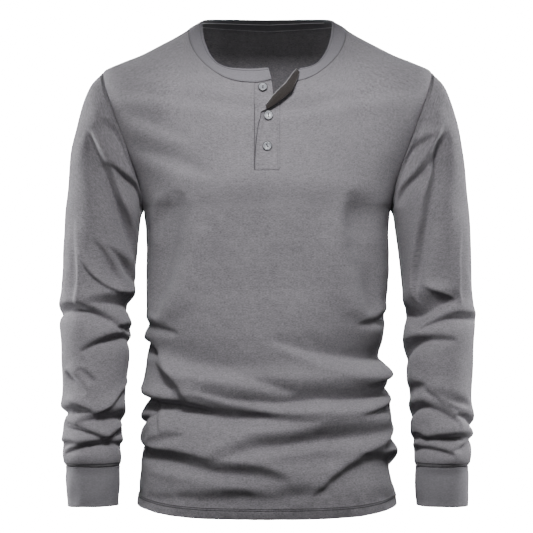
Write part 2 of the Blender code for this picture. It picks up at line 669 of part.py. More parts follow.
def button(place, collection, cutters, material):
    """Make one two-hole button lying on the placket."""
    bm = bmesh.new()
    bmesh.ops.create_cone(bm, cap_ends=True, segments=BUTTON_SIDES, radius1=BUTTON_RADIUS,
                          radius2=BUTTON_RADIUS, depth=BUTTON_WALL)
    rim = [edge for edge in bm.edges if abs(edge.verts[0].co.z - edge.verts[1].co.z) < 1e-6]
    bmesh.ops.bevel(bm, geom=rim, offset=0.0005, segments=1, affect="EDGES")
    mesh = bpy.data.meshes.new(place.name)
    bm.to_mesh(mesh)
    bm.free()
    thing = bpy.data.objects.new(place.name, mesh)
    collection.objects.link(thing)
    thing.data.materials.append(material)
    x, z = place.x * MM, place.z * MM
    seat = np.array([x, float(torso_y(x, z, True)), z])
    out = np.array([0.0, -1.0, (torso_y(x, z + 0.005, True) - torso_y(x, z - 0.005, True)) / 0.010])
    out = out / np.linalg.norm(out)
    tilt_matrix = _frame(out, math.radians(place.tilt))
    centre = seat + out * (place.lift * MM + BUTTON_WALL / 2)
    thing.data.transform(_placed(tilt_matrix, centre))
    for side in (-1, 1):
        hole_bm = bmesh.new()
        bmesh.ops.create_cone(hole_bm, cap_ends=True, segments=HOLE_SIDES,
                              radius1=BUTTON_HOLE_RADIUS, radius2=BUTTON_HOLE_RADIUS,
                              depth=3 * BUTTON_WALL)
        hole_mesh = bpy.data.meshes.new(place.name + "_hole")
        hole_bm.to_mesh(hole_mesh)
        hole_bm.free()
        hole = bpy.data.objects.new(place.name + "_hole", hole_mesh)
        cutters.objects.link(hole)
        hide_cutter(hole)
        off = tilt_matrix @ np.array([0.0, side * BUTTON_HOLE_OFFSET, 0.0])
        hole.data.transform(_placed(tilt_matrix, centre + off))
        cut = thing.modifiers.new("hole", "BOOLEAN")
        cut.operation = "DIFFERENCE"
        cut.solver = "EXACT"
        cut.object = hole
    return thing


def _frame(out, roll):
    """Return a turning matrix whose local z is the direction out."""
    up = np.array([0.0, 0.0, 1.0])
    side = np.cross(up, out)
    side = side / np.linalg.norm(side)
    up = np.cross(out, side)
    turned_side = math.cos(roll) * side + math.sin(roll) * up
    turned_up = math.cos(roll) * up - math.sin(roll) * side
    return np.column_stack([turned_side, turned_up, out])


def _placed(turn, centre):
    """Return a four by four matrix from a turning matrix and a place."""
    rows = [[*turn[i], centre[i]] for i in range(3)] + [[0, 0, 0, 1]]
    return Matrix(rows)


def plain_material(name, colour, roughness):
    """Make a plain surface of one colour."""
    material = bpy.data.materials.new(name)
    material.use_nodes = True
    shader = material.node_tree.nodes["Principled BSDF"]
    shader.inputs["Base Color"].default_value = (*colour, 1.0)
    shader.inputs["Roughness"].default_value = roughness
    material.diffuse_color = (*colour, 1.0)
    return material


def grid_outward(grid, flipped):
    """Return the direction out of the cloth at each point of a grid."""
    along = np.gradient(grid, axis=1)
    up = np.gradient(grid, axis=0)
    out = np.cross(along, up) * (-1.0 if flipped else 1.0)
    return out / np.linalg.norm(out, axis=-1, keepdims=True)


def neck_order(front):
    """Return where a panel's neckline points lie in the neck loop, from right to left."""
    if front:
        last = 2 * (FRONT_NECK_STEPS + BACK_NECK_STEPS)
        half = list(range(FRONT_NECK_STEPS, -1, -1))
        return half + list(range(last - 1, last - 1 - FRONT_NECK_STEPS, -1))
    return list(range(FRONT_NECK_STEPS, FRONT_NECK_STEPS + 2 * BACK_NECK_STEPS + 1))


def armhole_order(front, ring_size):
    """Return where a panel's armhole points lie in a sleeve ring, from the underarm up."""
    order = np.arange(len(ARMHOLE))
    return order if front else -order % ring_size


def panel_inside_seams(panel, other, sleeves, band_row, front):
    """Return a panel's points with its edges drawn back from all its seams."""
    outward = grid_outward(panel, not front)
    result = panel.copy()
    low = len(PANEL_ROWS)
    for side, inner, sleeve in ((0, 1, sleeves[0]), (-1, -2, sleeves[1])):
        result[:low, side] = drawn_back(
            panel[:low, side], panel[:low, inner], other[:low, inner],
            outward[:low, side], 2 * JERSEY_WALL)
        order = armhole_order(front, len(sleeve[0]))[1:]
        result[low:, side] = drawn_back(
            panel[low:, side], panel[low:, inner], sleeve[1][order],
            outward[low:, side], 2 * JERSEY_WALL)
    order = neck_order(front)
    last = panel.shape[1] - 1
    for step in range(last + 1):
        from_tip = min(step, last - step)
        if from_tip < SHOULDER_STEPS:
            across = other[-2, step if step == from_tip else -1 - from_tip]
            out = np.array([0.0, 0.0, 1.0])
            walls = 2 * JERSEY_WALL
        else:
            across = band_row[order[step - SHOULDER_STEPS]]
            out = outward[-1, step]
            walls = JERSEY_WALL + RIB_WALL
        moved = drawn_back(panel[-1, step], panel[-2, step], across, out, walls)
        result[-1, step] += moved - panel[-1, step]
    return result


def sleeve_inside_seam(sleeve, front, back, left):
    """Return a sleeve's points with its top drawn back from the armhole."""
    side, inner = (-1, -2) if left else (0, 1)
    low = len(PANEL_ROWS) - 1
    outward = grid_outward(front, False)[low:, side]
    outward = np.concatenate([outward, grid_outward(back, True)[low:, side][-2:0:-1]])
    other = np.concatenate([front[low:, inner], back[low:, inner][-2:0:-1]])
    other[0] = (front[low, inner] + back[low, inner]) / 2
    other[len(ARMHOLE) - 1] = (front[-1, inner] + back[-1, inner]) / 2
    result = sleeve.copy()
    result[0] = drawn_back(sleeve[0], sleeve[1], other, outward, 2 * JERSEY_WALL)
    return result


def band_inside_seam(band, front, back):
    """Return the neckband's points with its lower edge drawn back from the panels."""
    result = band.copy()
    for grid, is_front in ((front, True), (back, False)):
        outward = grid_outward(grid, not is_front)
        for place, where in enumerate(neck_order(is_front)):
            step = place + SHOULDER_STEPS
            result[0, where] = drawn_back(
                band[0, where], band[1, where], grid[-2, step], outward[-1, step],
                JERSEY_WALL + RIB_WALL)
    result[0, -1] = result[0, 0]
    return result


def band_ends_cut(band):
    """Return the neckband's points between its two ends at the opening."""
    front = FRONT_NECK_STEPS + 1
    columns = band.shape[1]
    starts, ends = [], []
    for row in range(len(band)):
        part = row / (len(band) - 1)
        under = (1 - part) * BAND_END_UNDER.seam_x + part * BAND_END_UNDER.top_x
        over = (1 - part) * BAND_END_OVER.seam_x + part * BAND_END_OVER.top_x
        starts.append(at_side(band[row, -front:], 0, under * MM))
        ends.append(at_side(band[row, -front:], 0, over * MM))
    widest = max(end[0] for end in ends) + BAND_END_ROOM
    last = max(step for step in range(columns - front, columns) if band[0, step, 0] > widest)
    kept = band[:, :last + 1].copy()
    rises = np.linspace(BAND_END_SEAM_RISE, BAND_END_TOP_RISE, len(band))
    for row, rise in enumerate(rises):
        starts[row] = starts[row] + np.array([0, 0, rise])
        kept[row, 0, 2] += BAND_END_SHARE * rise
    return np.concatenate([np.array(starts)[:, None], kept, np.array(ends)[:, None]], axis=1)


def main():
    """Build every piece of the shirt."""
    for thing in list(bpy.data.objects):
        bpy.data.objects.remove(thing)
    shirt = bpy.data.collections.new("long_sleeve_shirt")
    cutters = bpy.data.collections.new("cutters")
    bpy.context.scene.collection.children.link(shirt)
    bpy.context.scene.collection.children.link(cutters)

    front = panel_grid(True)
    back = panel_grid(False)
    sleeves = [sleeve_grid(armhole_loop(front, back, False), RIGHT_SLEEVE_FOLDS, False),
               sleeve_grid(armhole_loop(front, back, True), LEFT_SLEEVE_FOLDS, True)]
    band = band_grid(front, back)

    front_piece = cloth("front", panel_inside_seams(front, back, sleeves, band[1], True),
                        JERSEY_WALL, shirt, plain_material("front_jersey", JERSEY_GREY, 0.9))
    cut_opening(front_piece, cutters)
    cloth("back", panel_inside_seams(back, front, sleeves, band[1], False), JERSEY_WALL,
          shirt, plain_material("back_jersey", JERSEY_GREY, 0.9), flipped=True)
    for side, left in (("right", False), ("left", True)):
        sleeve = sleeve_inside_seam(sleeves[left], front, back, left)
        cloth("sleeve_" + side, sleeve, JERSEY_WALL, shirt,
              plain_material(f"sleeve_{side}_jersey", JERSEY_GREY, 0.9), closed=True, flipped=left)
        cloth("cuff_" + side, cuff_grid(left), RIB_WALL, shirt,
              plain_material(f"cuff_{side}_rib", JERSEY_GREY, 0.9), closed=True, flipped=left)
    cloth("neckband", band_ends_cut(band_inside_seam(band, front, back)), RIB_WALL, shirt,
          plain_material("neckband_jersey", JERSEY_GREY, 0.9), flipped=True)
    cloth("placket_under", under_grid(), PLACKET_WALL, shirt,
          plain_material("placket_under_jersey", JERSEY_GREY, 0.9))
    cloth("placket_over", over_grid(), PLACKET_WALL, shirt,
          plain_material("placket_over_jersey", JERSEY_GREY, 0.9), flipped=True)
    for place in BUTTONS:
        pale = plain_material(place.name + "_resin", BUTTON_GREY, 0.25)
        button(place, shirt, cutters, pale)


main()
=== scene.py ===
"""Visual model of a long-sleeved jersey shirt with a three-button neck, filled out as worn.

Every piece of cloth is a thin shell laid on the form of its CAD node: the same rings,
armhole, neckline and placket rows, divided finely and creased by tables of folds.
Stitches are laid along the seams by Geometry Nodes. Lengths are metres unless a table
says millimetres. The wearer looks along -Y, +X is the wearer's left and +Z is up.
"""
import logging
import math
from dataclasses import dataclass, fields
from enum import Enum
from functools import cache, partial
from typing import Iterable, Optional, Sequence, Union

import bmesh
import bpy
import numpy as np
from bpy.types import GeometryNodeTree, ID, Material, Mesh, Node, NodeSocket, NodeTree, Object, World
from mathutils import Matrix, Vector


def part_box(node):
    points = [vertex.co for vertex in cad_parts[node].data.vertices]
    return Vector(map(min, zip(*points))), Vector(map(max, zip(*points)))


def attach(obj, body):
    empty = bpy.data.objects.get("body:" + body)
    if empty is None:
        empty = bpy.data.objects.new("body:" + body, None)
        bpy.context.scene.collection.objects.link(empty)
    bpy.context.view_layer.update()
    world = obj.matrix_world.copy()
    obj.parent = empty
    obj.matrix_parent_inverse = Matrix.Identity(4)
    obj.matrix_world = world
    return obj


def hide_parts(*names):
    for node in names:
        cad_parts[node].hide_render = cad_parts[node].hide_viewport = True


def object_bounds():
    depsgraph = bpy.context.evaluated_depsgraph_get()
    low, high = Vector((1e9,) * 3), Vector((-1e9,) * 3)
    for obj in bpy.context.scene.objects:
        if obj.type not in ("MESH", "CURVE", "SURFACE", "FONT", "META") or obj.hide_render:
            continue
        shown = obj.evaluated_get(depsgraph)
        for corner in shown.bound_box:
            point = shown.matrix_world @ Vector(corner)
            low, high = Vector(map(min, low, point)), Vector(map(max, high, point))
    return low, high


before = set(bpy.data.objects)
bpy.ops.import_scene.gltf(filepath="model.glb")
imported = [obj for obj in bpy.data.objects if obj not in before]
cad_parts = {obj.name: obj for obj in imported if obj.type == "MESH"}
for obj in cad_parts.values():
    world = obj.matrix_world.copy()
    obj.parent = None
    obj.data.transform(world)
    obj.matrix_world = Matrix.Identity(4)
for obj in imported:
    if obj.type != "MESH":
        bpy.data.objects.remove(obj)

CAD_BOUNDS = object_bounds()
BODY = "root"
MM = 0.001
LOG = logging.getLogger("shirt")


# -------- named options
class Panel(Enum):
    """The two body panels."""

    FRONT = "front"
    BACK = "back"


class Side(Enum):
    """The wearer's two sides, with the sign of x there."""

    RIGHT = -1
    LEFT = 1

    @property
    def word(self) -> str:
        """The side's name as it stands in node names."""
        return self.name.lower()


class Knit(Enum):
    """The two knits of the shirt."""

    JERSEY = "jersey"
    RIB = "rib"


# -------- finishes
def linear(hex_colour: str) -> tuple[float, float, float]:
    """Return an sRGB hex colour as linear red, green and blue."""
    parts = [int(hex_colour[i:i + 2], 16) / 255 for i in (1, 3, 5)]
    red, green, blue = (
        part / 12.92 if part <= 0.04045 else ((part + 0.055) / 1.055) ** 2.4 for part in parts)
    return red, green, blue


@dataclass(frozen=True)
class KnitFinish:
    """How a knitted cloth looks.

    Attributes:
        name: the material's name.
        colour: its mean colour, as sRGB hex.
        fleck_colour: the colour of its darker fibres.
        grain: how strongly the fleck shows, from 0 to 1.
        bump: the depth of the knit.
        knit: jersey or rib.
        wale: the width of one column of stitches.
        course: the height of one row of stitches.
    """

    name: str
    colour: str
    fleck_colour: str
    grain: float
    bump: float
    knit: Knit = Knit.JERSEY
    wale: float = 0.00085
    course: float = 0.0007


@dataclass(frozen=True)
class Fleck:
    """A noise in the cloth's colour: its cells a metre, its detail and its gain."""

    cells: float
    detail: float
    gain: float


@dataclass(frozen=True)
class ThreadFinish:
    """How a sewing thread looks."""

    name: str
    colour: str
    roughness: float


@dataclass(frozen=True)
class ButtonFinish:
    """How a resin button looks: its two mixed colours and its gloss."""

    name: str
    colour: str
    cloud_colour: str
    roughness: float


Finish = Union[KnitFinish, ThreadFinish, ButtonFinish]

GRAIN = Fleck(760.0, 1.0, 1.3)
SLUB = Fleck(240.0, 2.0, 0.6)
CLOUD = Fleck(24.0, 3.0, 0.3)
# Painted shade: the turned-back reverse of the buttonhole side is coloured dark for the shade it lies
# in
PAINTED_SHADE_JERSEY = KnitFinish("cotton_jersey_facing", "#36312E", "#252120", 0.45, 0.00016)
COTTON_JERSEY = KnitFinish("cotton_jersey_grey", "#979499", "#646166", 0.55, 0.00018)
BAND_JERSEY = KnitFinish("cotton_jersey_band", "#8A888E", "#747177", 0.45, 0.00016)
CUFF_RIB = KnitFinish("cotton_rib_grey", "#908E93", "#767479", 0.45, 0.00018, Knit.RIB,
                      wale=0.0013, course=0.0008)
SEAM_THREAD = ThreadFinish("polyester_thread_dark", "#5C5A60", 0.65)
LOOPER_THREAD = ThreadFinish("polyester_looper_dark", "#545257", 0.75)
PLACKET_THREAD = ThreadFinish("polyester_thread_grey", "#636167", 0.6)
# Dark thread for real stitches, also used for lines of painted shadow in seams, at edges and in the
# button holes
DARK_THREAD_AND_PAINTED_SHADOW = ThreadFinish("polyester_thread_shade", "#3A383C", 0.8)
# Painted shadow: a dark ring round each button stands for its contact shadow
SHADOW_RING_PAINT = ThreadFinish("button_resin_bevel", "#38393D", 0.3)
# Pale stitches on the roll's crest, also standing for the painted highlight along it
ROLL_THREAD_AND_HIGHLIGHT = ThreadFinish("polyester_thread_rim", "#A3A1A6", 0.6)
PALE_THREAD = ThreadFinish("polyester_thread_pale", "#EDECEF", 0.6)
BUTTON_RESIN = ButtonFinish("button_resin_pearl", "#A0A2A8", "#7C7E84", 0.3)


# -------- rows of the form, mm
@dataclass(frozen=True)
class TorsoRing:
    """One level ring of the worn torso; depths are measured from ridge_y."""

    height: float
    half_width: float
    front_depth: float
    back_depth: float
    ridge_y: float
    front_round: float
    back_round: float


TORSO_RINGS = (
    TorsoRing(-705, 189.5, 129, 118, 0, 2.30, 2.30),
    TorsoRing(-640, 184.5, 123, 112, 0, 2.35, 2.30),
    TorsoRing(-560, 180.5, 117, 106, 0, 2.35, 2.30),
    TorsoRing(-480, 176.5, 112, 100, 0, 2.40, 2.35),
    TorsoRing(-380, 174.5, 112, 96, 0, 2.40, 2.35),
    TorsoRing(-300, 175.5, 119, 102, 0, 2.40, 2.35),
    TorsoRing(-270, 177.5, 123, 107, 0, 2.35, 2.35),
    TorsoRing(-256, 179.2, 124, 109, 0, 2.35, 2.35),
    TorsoRing(-247, 182.6, 124, 110, 0, 2.35, 2.35),
    TorsoRing(-226, 190.0, 124, 112, 0, 2.35, 2.35),
    TorsoRing(-197, 204.5, 123, 113, 0, 2.30, 2.30),
    TorsoRing(-165, 219.5, 120, 113, 0, 2.35, 2.35),
    TorsoRing(-131, 232.5, 113, 110, 0, 2.45, 2.45),
    TorsoRing(-99, 239.0, 106, 105, 0, 2.55, 2.55),
    TorsoRing(-72, 240.5, 93, 100, 0, 2.45, 2.50),
    TorsoRing(-57, 238.0, 82, 97, 1, 2.30, 2.40),
    TorsoRing(-44, 214.0, 71, 93, 3, 2.20, 2.35),
    TorsoRing(-32, 185.0, 60, 89, 5, 2.10, 2.35),
    TorsoRing(-17, 156.0, 46, 85, 7, 2.05, 2.40),
    TorsoRing(-2, 128.5, 28, 80, 9, 2.00, 2.50),
    TorsoRing(7, 115.0, 14, 77, 10, 2.00, 2.60),
    TorsoRing(18, 107.0, 6, 75, 11, 2.00, 2.60),
)


@dataclass(frozen=True)
class ArmholePoint:
    """A point of the armhole seam."""

    height: float
    side: float


ARMHOLE = (
    ArmholePoint(-256, 179.2),
    ArmholePoint(-247, 179.4),
    ArmholePoint(-226, 182.5),
    ArmholePoint(-197, 191.0),
    ArmholePoint(-165, 202.5),
    ArmholePoint(-131, 215.0),
    ArmholePoint(-99, 226.5),
    ArmholePoint(-72, 235.0),
    ArmholePoint(-57, 238.0),
)


@dataclass(frozen=True)
class NeckPoint:
    """A point of the neckline seam and of the neckband's top edge above it."""

    seam_x: float
    seam_z: float
    top_x: float
    top_y: float
    top_z: float


FRONT_NECK = (
    NeckPoint(0, -81.0, 0, -88, -60.5),
    NeckPoint(36, -79.0, 31, -85, -60.0),
    NeckPoint(58, -73.0, 50, -77, -58.0),
    NeckPoint(82, -57.0, 69, -61, -50.0),
    NeckPoint(102, -34.0, 84, -38, -30.0),
    NeckPoint(112, -11.0, 92, -11, -6.0),
    NeckPoint(115, 7.0, 96, 9, 18.0),
)
BACK_NECK = (
    NeckPoint(0, 11.0, 0, 69, 27.0),
    NeckPoint(50, 13.5, 42, 63, 27.0),
    NeckPoint(90, 15.0, 76, 47, 25.5),
    NeckPoint(109, 12.0, 91, 27, 22.5),
    NeckPoint(115, 7.0, 96, 9, 18.0),
)


@dataclass(frozen=True)
class SleeveRing:
    """One ring of a sleeve: its point beside the body, its outermost point, its depth."""

    inner_x: float
    inner_z: float
    outer_x: float
    outer_z: float
    half_depth: float
    middle_y: float


SLEEVE_RINGS = (
    SleeveRing(179.2, -256, 238.0, -57, 57, 0),
    SleeveRing(181.6, -262, 257.0, -78, 61, 0),
    SleeveRing(183.2, -268, 270.5, -113, 64, 1),
    SleeveRing(184.2, -275, 279.5, -146, 66, 1),
    SleeveRing(185.2, -284, 285.5, -184, 67, 2),
    SleeveRing(186.4, -294, 289.5, -226, 66, 2),
    SleeveRing(188.2, -307, 293.0, -266, 64, 3),
    SleeveRing(190.2, -325, 295.5, -304, 61, 3),
    SleeveRing(192.6, -350, 297.0, -340, 58, 4),
    SleeveRing(195.0, -374, 298.0, -372, 55, 4),
    SleeveRing(197.6, -394, 299.5, -394, 53, 3),
    SleeveRing(199.2, -413, 302.0, -415, 53, 2),
    SleeveRing(198.4, -433, 300.5, -435, 52, 0),
    SleeveRing(199.2, -460, 298.5, -460, 50, -2),
    SleeveRing(202.0, -490, 297.0, -488, 48, -5),
    SleeveRing(204.6, -516, 295.8, -514, 47, -8),
    SleeveRing(206.2, -538, 295.2, -536, 46, -11),
    SleeveRing(206.4, -556, 295.2, -555, 45, -13),
    SleeveRing(208.2, -574, 295.2, -573, 44, -15),
    SleeveRing(209.2, -590, 295.4, -590, 43, -17),
    SleeveRing(210.0, -605, 295.2, -606, 41, -18),
    SleeveRing(210.6, -617, 293.5, -618, 38, -19),
    SleeveRing(212.6, -625, 290.2, -625, 34, -19),
)
HEAD_RINGS = 5


@dataclass(frozen=True)
class Fold:
    """A crease in the cloth between two points: a valley with a ridge beside it.

    Attributes:
        turn_from, height_from: where it starts; turns are degrees from straight ahead.
        turn_to, height_to: where it ends.
        sag: how far its middle hangs below the straight line.
        ridge, valley: how far the cloth stands out at the one and goes in at the other.
        band: how far the ridge lies above the valley, or below it when negative.
        upper, lower: how far the fold spreads, up and down.
        slump: how far the ridge hangs over the valley.
        crest, foot: how sharp the ridge and the valley are, 0 for soft, 1 for creased.
        peak: where along its length the fold is strongest.
    """

    turn_from: float
    height_from: float
    turn_to: float
    height_to: float
    sag: float
    ridge: float
    valley: float
    band: float
    upper: float
    lower: float
    slump: float = 0.0
    crest: float = 0.0
    foot: float = 0.0
    peak: float = 0.5


TORSO_FOLDS = (
    Fold(-100, -434, -51, -528, -6, 10, 13, 18, 24, 18, 2, 0.9, 0.3, 0.62),
    Fold(-108, -524, 34, -556, 8, 12, 17, 31, 18, 12, 5, 0.9, 0.7, 0.52),
    Fold(-96, -524, -34, -540, -1, 8, 9, 13, 9, 10, 3, 0.8, 0.6, 0.5),
    Fold(-44, -512, 100, -514, 16, 10, 20, 31, 16, 6, 0, 0.0, 0.9, 0.5),
    Fold(-18, -540, 98, -536, 15, 6, 0, 12, 8, 10, 0, 0.0, 0.0, 0.6),
    Fold(-38, -607, 84, -576, -7, 8, 12, 24, 16, 12, 0, 0.0, 0.4, 0.55),
    Fold(-104, -588, 14, -639, 7, 9, 12, 22, 20, 16, 2, 0.8, 0.5, 0.6),
    Fold(-70, -634, 10, -664, 3, 4, 0, 10, 10, 9),
    Fold(-72, -666, 40, -652, 4, 3, 7, 16, 12, 12, 0, 0.0, 0.1, 0.6),
    Fold(24, -678, 104, -640, -44, 9, 9, 17, 20, 30, 1, 0.3, 0.0, 0.62),
    Fold(62, -508, 100, -494, 0, 3, 10, 6, 8, 6, 1, 0.5, 0.7, 0.6),
    Fold(56, -548, 96, -530, 0, 2, 5, 8, 8, 8, 0, 0.1, 0.1),
    Fold(68, -598, 100, -576, 0, 3, 6, 8, 8, 8, 1, 0.4, 0.3),
    Fold(54, -606, 88, -572, 3, 2, 3, 6, 10, 10, 0, 0.4, 0.1),
    Fold(0, -614, 60, -604, 0, 0, 5, 14, 16, 14),
    Fold(-76, -524, -64, -574, 0, 3, 4, 6, 10, 8, 0, 0.7, 0.2),
    Fold(-74, -588, -50, -578, 0, 2, 4, 10, 10, 8),
    Fold(-106, -576, -70, -548, 0, 4, 7, 6, 10, 8, 2, 0.8, 0.2),
    Fold(-86, -452, 20, -514, 0, 7, 13, -16, 28, 14, 0, 0.0, 0.5, 0.3),
    Fold(-2, -436, 106, -472, 14, 9, 25, -18, 36, 14, 0, 0.0, 0.8, 0.7),
    Fold(56, -424, 96, -408, 0, 2, 7, 10, 10, 9, 0, 0.0, 0.1, 0.6),
    Fold(-98, -418, -56, -432, 0, 2, 5, 10, 10, 9, 0, 0.0, 0.1),
    Fold(-50, -232, -72, -412, 0, 9, 15, -30, 28, 30, 0, 0.0, 0.0, 0.55),
    Fold(-58, -236, -72, -300, 0, 2, 5, 10, 10, 10, 0, 0.0, 0.1),
    Fold(48, -232, 70, -412, 0, 9, 15, -32, 28, 30, 0, 0.0, 0.0, 0.58),
    Fold(-74, -200, -36, -286, 0, 0, 4, 32, 16, 44, 0, 0.0, 0.0, 0.45),
    Fold(-76, -262, 76, -262, -10, 6, 0, 30, 32, 10),
    Fold(48, -292, 74, -188, 0, 0, 4, 32, 14, 44, 0, 0.0, 0.0, 0.5),
    Fold(-80, -158, -34, -214, 0, 3, 6, -14, 16, 14, 0, 0.0, 0.3, 0.35),
    Fold(-78, -110, -44, -164, 0, 2, 4, -12, 12, 12, 0, 0.0, 0.2),
    Fold(-80, -84, 4, -122, 5, 2, 4, -12, 12, 12, 0, 0.0, 0.2),
    Fold(82, -82, -2, -126, 4, 2, 4, -12, 12, 12, 0, 0.0, 0.2),
    Fold(112, -520, 176, -548, 8, 8, 11, 9, 24, 14, 4, 0.8, 0.2),
    Fold(-118, -505, -172, -528, 6, 7, 10, 9, 24, 14, 3, 0.8, 0.2),
    Fold(150, -590, 214, -604, 8, 6, 9, 10, 22, 16, 2, 0.6, 0.2),
    Fold(104, -590, 146, -628, 4, 5, 8, 10, 20, 16, 2, 0.6, 0.2),
    Fold(-100, -628, -150, -652, 5, 5, 7, 10, 20, 16, 1, 0.5, 0.2),
    Fold(126, -455, 222, -470, 9, 7, 10, 16, 28, 18, 2, 0.4, 0.2),
    Fold(126, -120, 150, -320, 0, 3, 5, 24, 36, 34),
    Fold(-124, -110, -144, -300, 0, 3, 4, 24, 36, 34),
    Fold(-112, -380, -150, -452, 3, 5, 8, 14, 22, 16, 1, 0.2, 0.2),
    Fold(110, -372, 146, -432, 3, 5, 8, 14, 22, 16, 1, 0.2, 0.2),
    Fold(96, -300, 140, -250, 6, 3, 5, 22, 26, 18),
    Fold(-96, -300, -140, -246, 6, 3, 5, 22, 26, 18),
)
RIGHT_SLEEVE_FOLDS = (
    Fold(126, -128, 4, -256, -6, 10, 21, 13, 16, 10, 0, 0.4, 0.8, 0.55),
    Fold(134, -146, 16, -324, 0, 13, 19, 8, 18, 10, 0, 0.6, 0.9),
    Fold(98, -190, 10, -262, 0, 8, 18, 8, 12, 9, 0, 0.4, 0.9, 0.55),
    Fold(136, -164, 98, -214, 0, 0, 5, 10, 14, 14),
    Fold(98, -300, 44, -368, 0, 4, 8, 8, 12, 10, 0, 0.2, 0.4, 0.6),
    Fold(78, -308, 0, -364, 0, 4, 9, 8, 12, 10, 0, 0.2, 0.5, 0.6),
    Fold(122, -306, 12, -374, 26, 6, 0, 1, 10, 12, 0, 0.3, 0.0),
    Fold(134, -240, 124, -392, 0, 5, 4, 7, 10, 12, 0, 0.8, 0.0, 0.8),
    Fold(206, -418, 26, -436, -25, 8, 13, 15, 16, 9, 2, 0.6, 0.9, 0.45),
    Fold(106, -388, -30, -402, -2, 8, 14, 20, 16, 8, 2, 0.6, 0.9, 0.6),
    Fold(46, -424, -14, -432, 0, 4, 10, 9, 8, 7, 1, 0.2, 0.7),
    Fold(112, -460, -24, -452, -14, 7, 12, 12, 16, 9, 2, 0.5, 0.9),
    Fold(150, -488, 100, -520, 0, 4, 7, 9, 14, 12, 0, 0.2, 0.3),
    Fold(116, -484, 84, -505, 0, 2, 4, 7, 10, 10, 0, 0.1, 0.3),
    Fold(144, -531, 92, -545, 0, 5, 2, 6, 9, 8, 0, 0.6, 0.0),
    Fold(86, -549, 0, -504, 6, 5, 2, 6, 9, 8, 0, 0.6, 0.0),
    Fold(206, -552, 84, -544, 0, 7, 11, 12, 12, 8, 2, 0.6, 0.9, 0.45),
    Fold(118, -563, -24, -566, -10, 7, 13, 17, 12, 8, 2, 0.5, 0.9),
    Fold(176, -560, 46, -583, 1, 5, 10, 8, 10, 7, 2, 0.6, 0.9),
    Fold(66, -584, -12, -573, 0, 5, 11, 11, 9, 7, 1, 0.5, 0.9),
    Fold(152, -608, -22, -602, -13, 8, 13, 13, 12, 8, 3, 0.6, 0.9),
    Fold(184, -594, 116, -589, 0, 4, 9, 6, 8, 6, 1, 0.6, 0.9),
    Fold(200, -420, 330, -404, 5, 7, 8, 9, 18, 12, 3, 0.8, 0.3),
    Fold(190, -560, 340, -556, 4, 4, 5, 7, 13, 9, 2, 0.8, 0.3),
    Fold(200, -588, 350, -592, 3, 5, 5, 7, 12, 9, 2, 0.8, 0.3),
    Fold(350, -266, 262, -160, -8, 4, 5, 8, 16, 12, 1, 0.4, 0.2),
)
LEFT_SLEEVE_FOLDS = (
    Fold(124, -122, 16, -208, 0, 7, 16, 12, 14, 12, 0, 0.3, 0.6, 0.6),
    Fold(122, -152, -8, -240, 0, 11, 23, 11, 12, 9, 0, 0.4, 0.9),
    Fold(136, -148, 34, -252, 4, 8, 16, 9, 14, 10, 0, 0.4, 0.7, 0.45),
    Fold(137, -138, 46, -388, -10, 14, 12, 8, 9, 14, 0, 0.9, 0.2),
    Fold(134, -280, 128, -388, 0, 5, 3, 6, 8, 10, 0, 0.8, 0.0, 0.7),
    Fold(56, -366, 124, -394, 4, 7, 0, 8, 9, 9, 0, 0.7, 0.0),
    Fold(-20, -412, 122, -384, 8, 6, 21, 30, 14, 8, 2, 0.3, 0.7),
    Fold(52, -430, 182, -418, -12, 6, 12, 12, 12, 8, 2, 0.6, 0.9),
    Fold(-20, -480, 116, -444, -12, 7, 13, 16, 14, 9, 2, 0.5, 0.9, 0.4),
    Fold(52, -514, 150, -540, 4, 4, 9, 14, 14, 10, 0, 0.2, 0.4),
    Fold(-10, -520, 60, -508, 0, 3, 8, 12, 14, 12, 0, 0.1, 0.2),
    Fold(56, -514, 146, -550, 8, 6, 1, 7, 10, 9, 0, 0.6, 0.0),
    Fold(-24, -562, 122, -564, -22, 7, 13, 16, 12, 8, 2, 0.5, 0.9),
    Fold(-20, -590, 62, -582, -2, 4, 10, 9, 9, 6, 2, 0.5, 0.9),
    Fold(26, -592, 204, -590, -8, 8, 12, 13, 12, 8, 4, 0.7, 0.9),
    Fold(-18, -602, 112, -608, -5, 4, 9, 9, 8, 8, 1, 0.4, 0.8),
    Fold(112, -550, 198, -569, 0, 5, 9, 8, 12, 7, 2, 0.5, 0.8),
    Fold(106, -602, 168, -588, 0, 4, 8, 7, 9, 7, 1, 0.5, 0.9),
    Fold(200, -398, 334, -380, 5, 7, 8, 9, 18, 12, 3, 0.8, 0.3),
    Fold(188, -540, 338, -552, 4, 4, 5, 7, 13, 9, 2, 0.8, 0.3),
    Fold(196, -580, 352, -578, 3, 5, 6, 7, 12, 9, 2, 0.8, 0.3),
    Fold(352, -266, 260, -172, -8, 4, 5, 8, 16, 12, 1, 0.4, 0.2),
)


@dataclass(frozen=True)
class UnderRow:
    """A row of the button stand: its height and its free right edge."""

    height: float
    right: float


UNDER_ROWS = (
    UnderRow(-202.5, 12.0),
    UnderRow(-180.0, 11.5),
    UnderRow(-155.0, 11.0),
    UnderRow(-130.0, 10.0),
    UnderRow(-112.0, 9.0),
    UnderRow(-98.0, 7.8),
    UnderRow(-87.0, 6.4),
    UnderRow(-79.6, 5.2),
)


@dataclass(frozen=True)
class OverRow:
    """A row of the buttonhole side: where it is sewn on, rolls over and ends."""

    sewn_x: float
    sewn_z: float
    roll_x: float
    roll_z: float
    roll_lift: float
    edge_x: float
    edge_z: float
    edge_lift: float


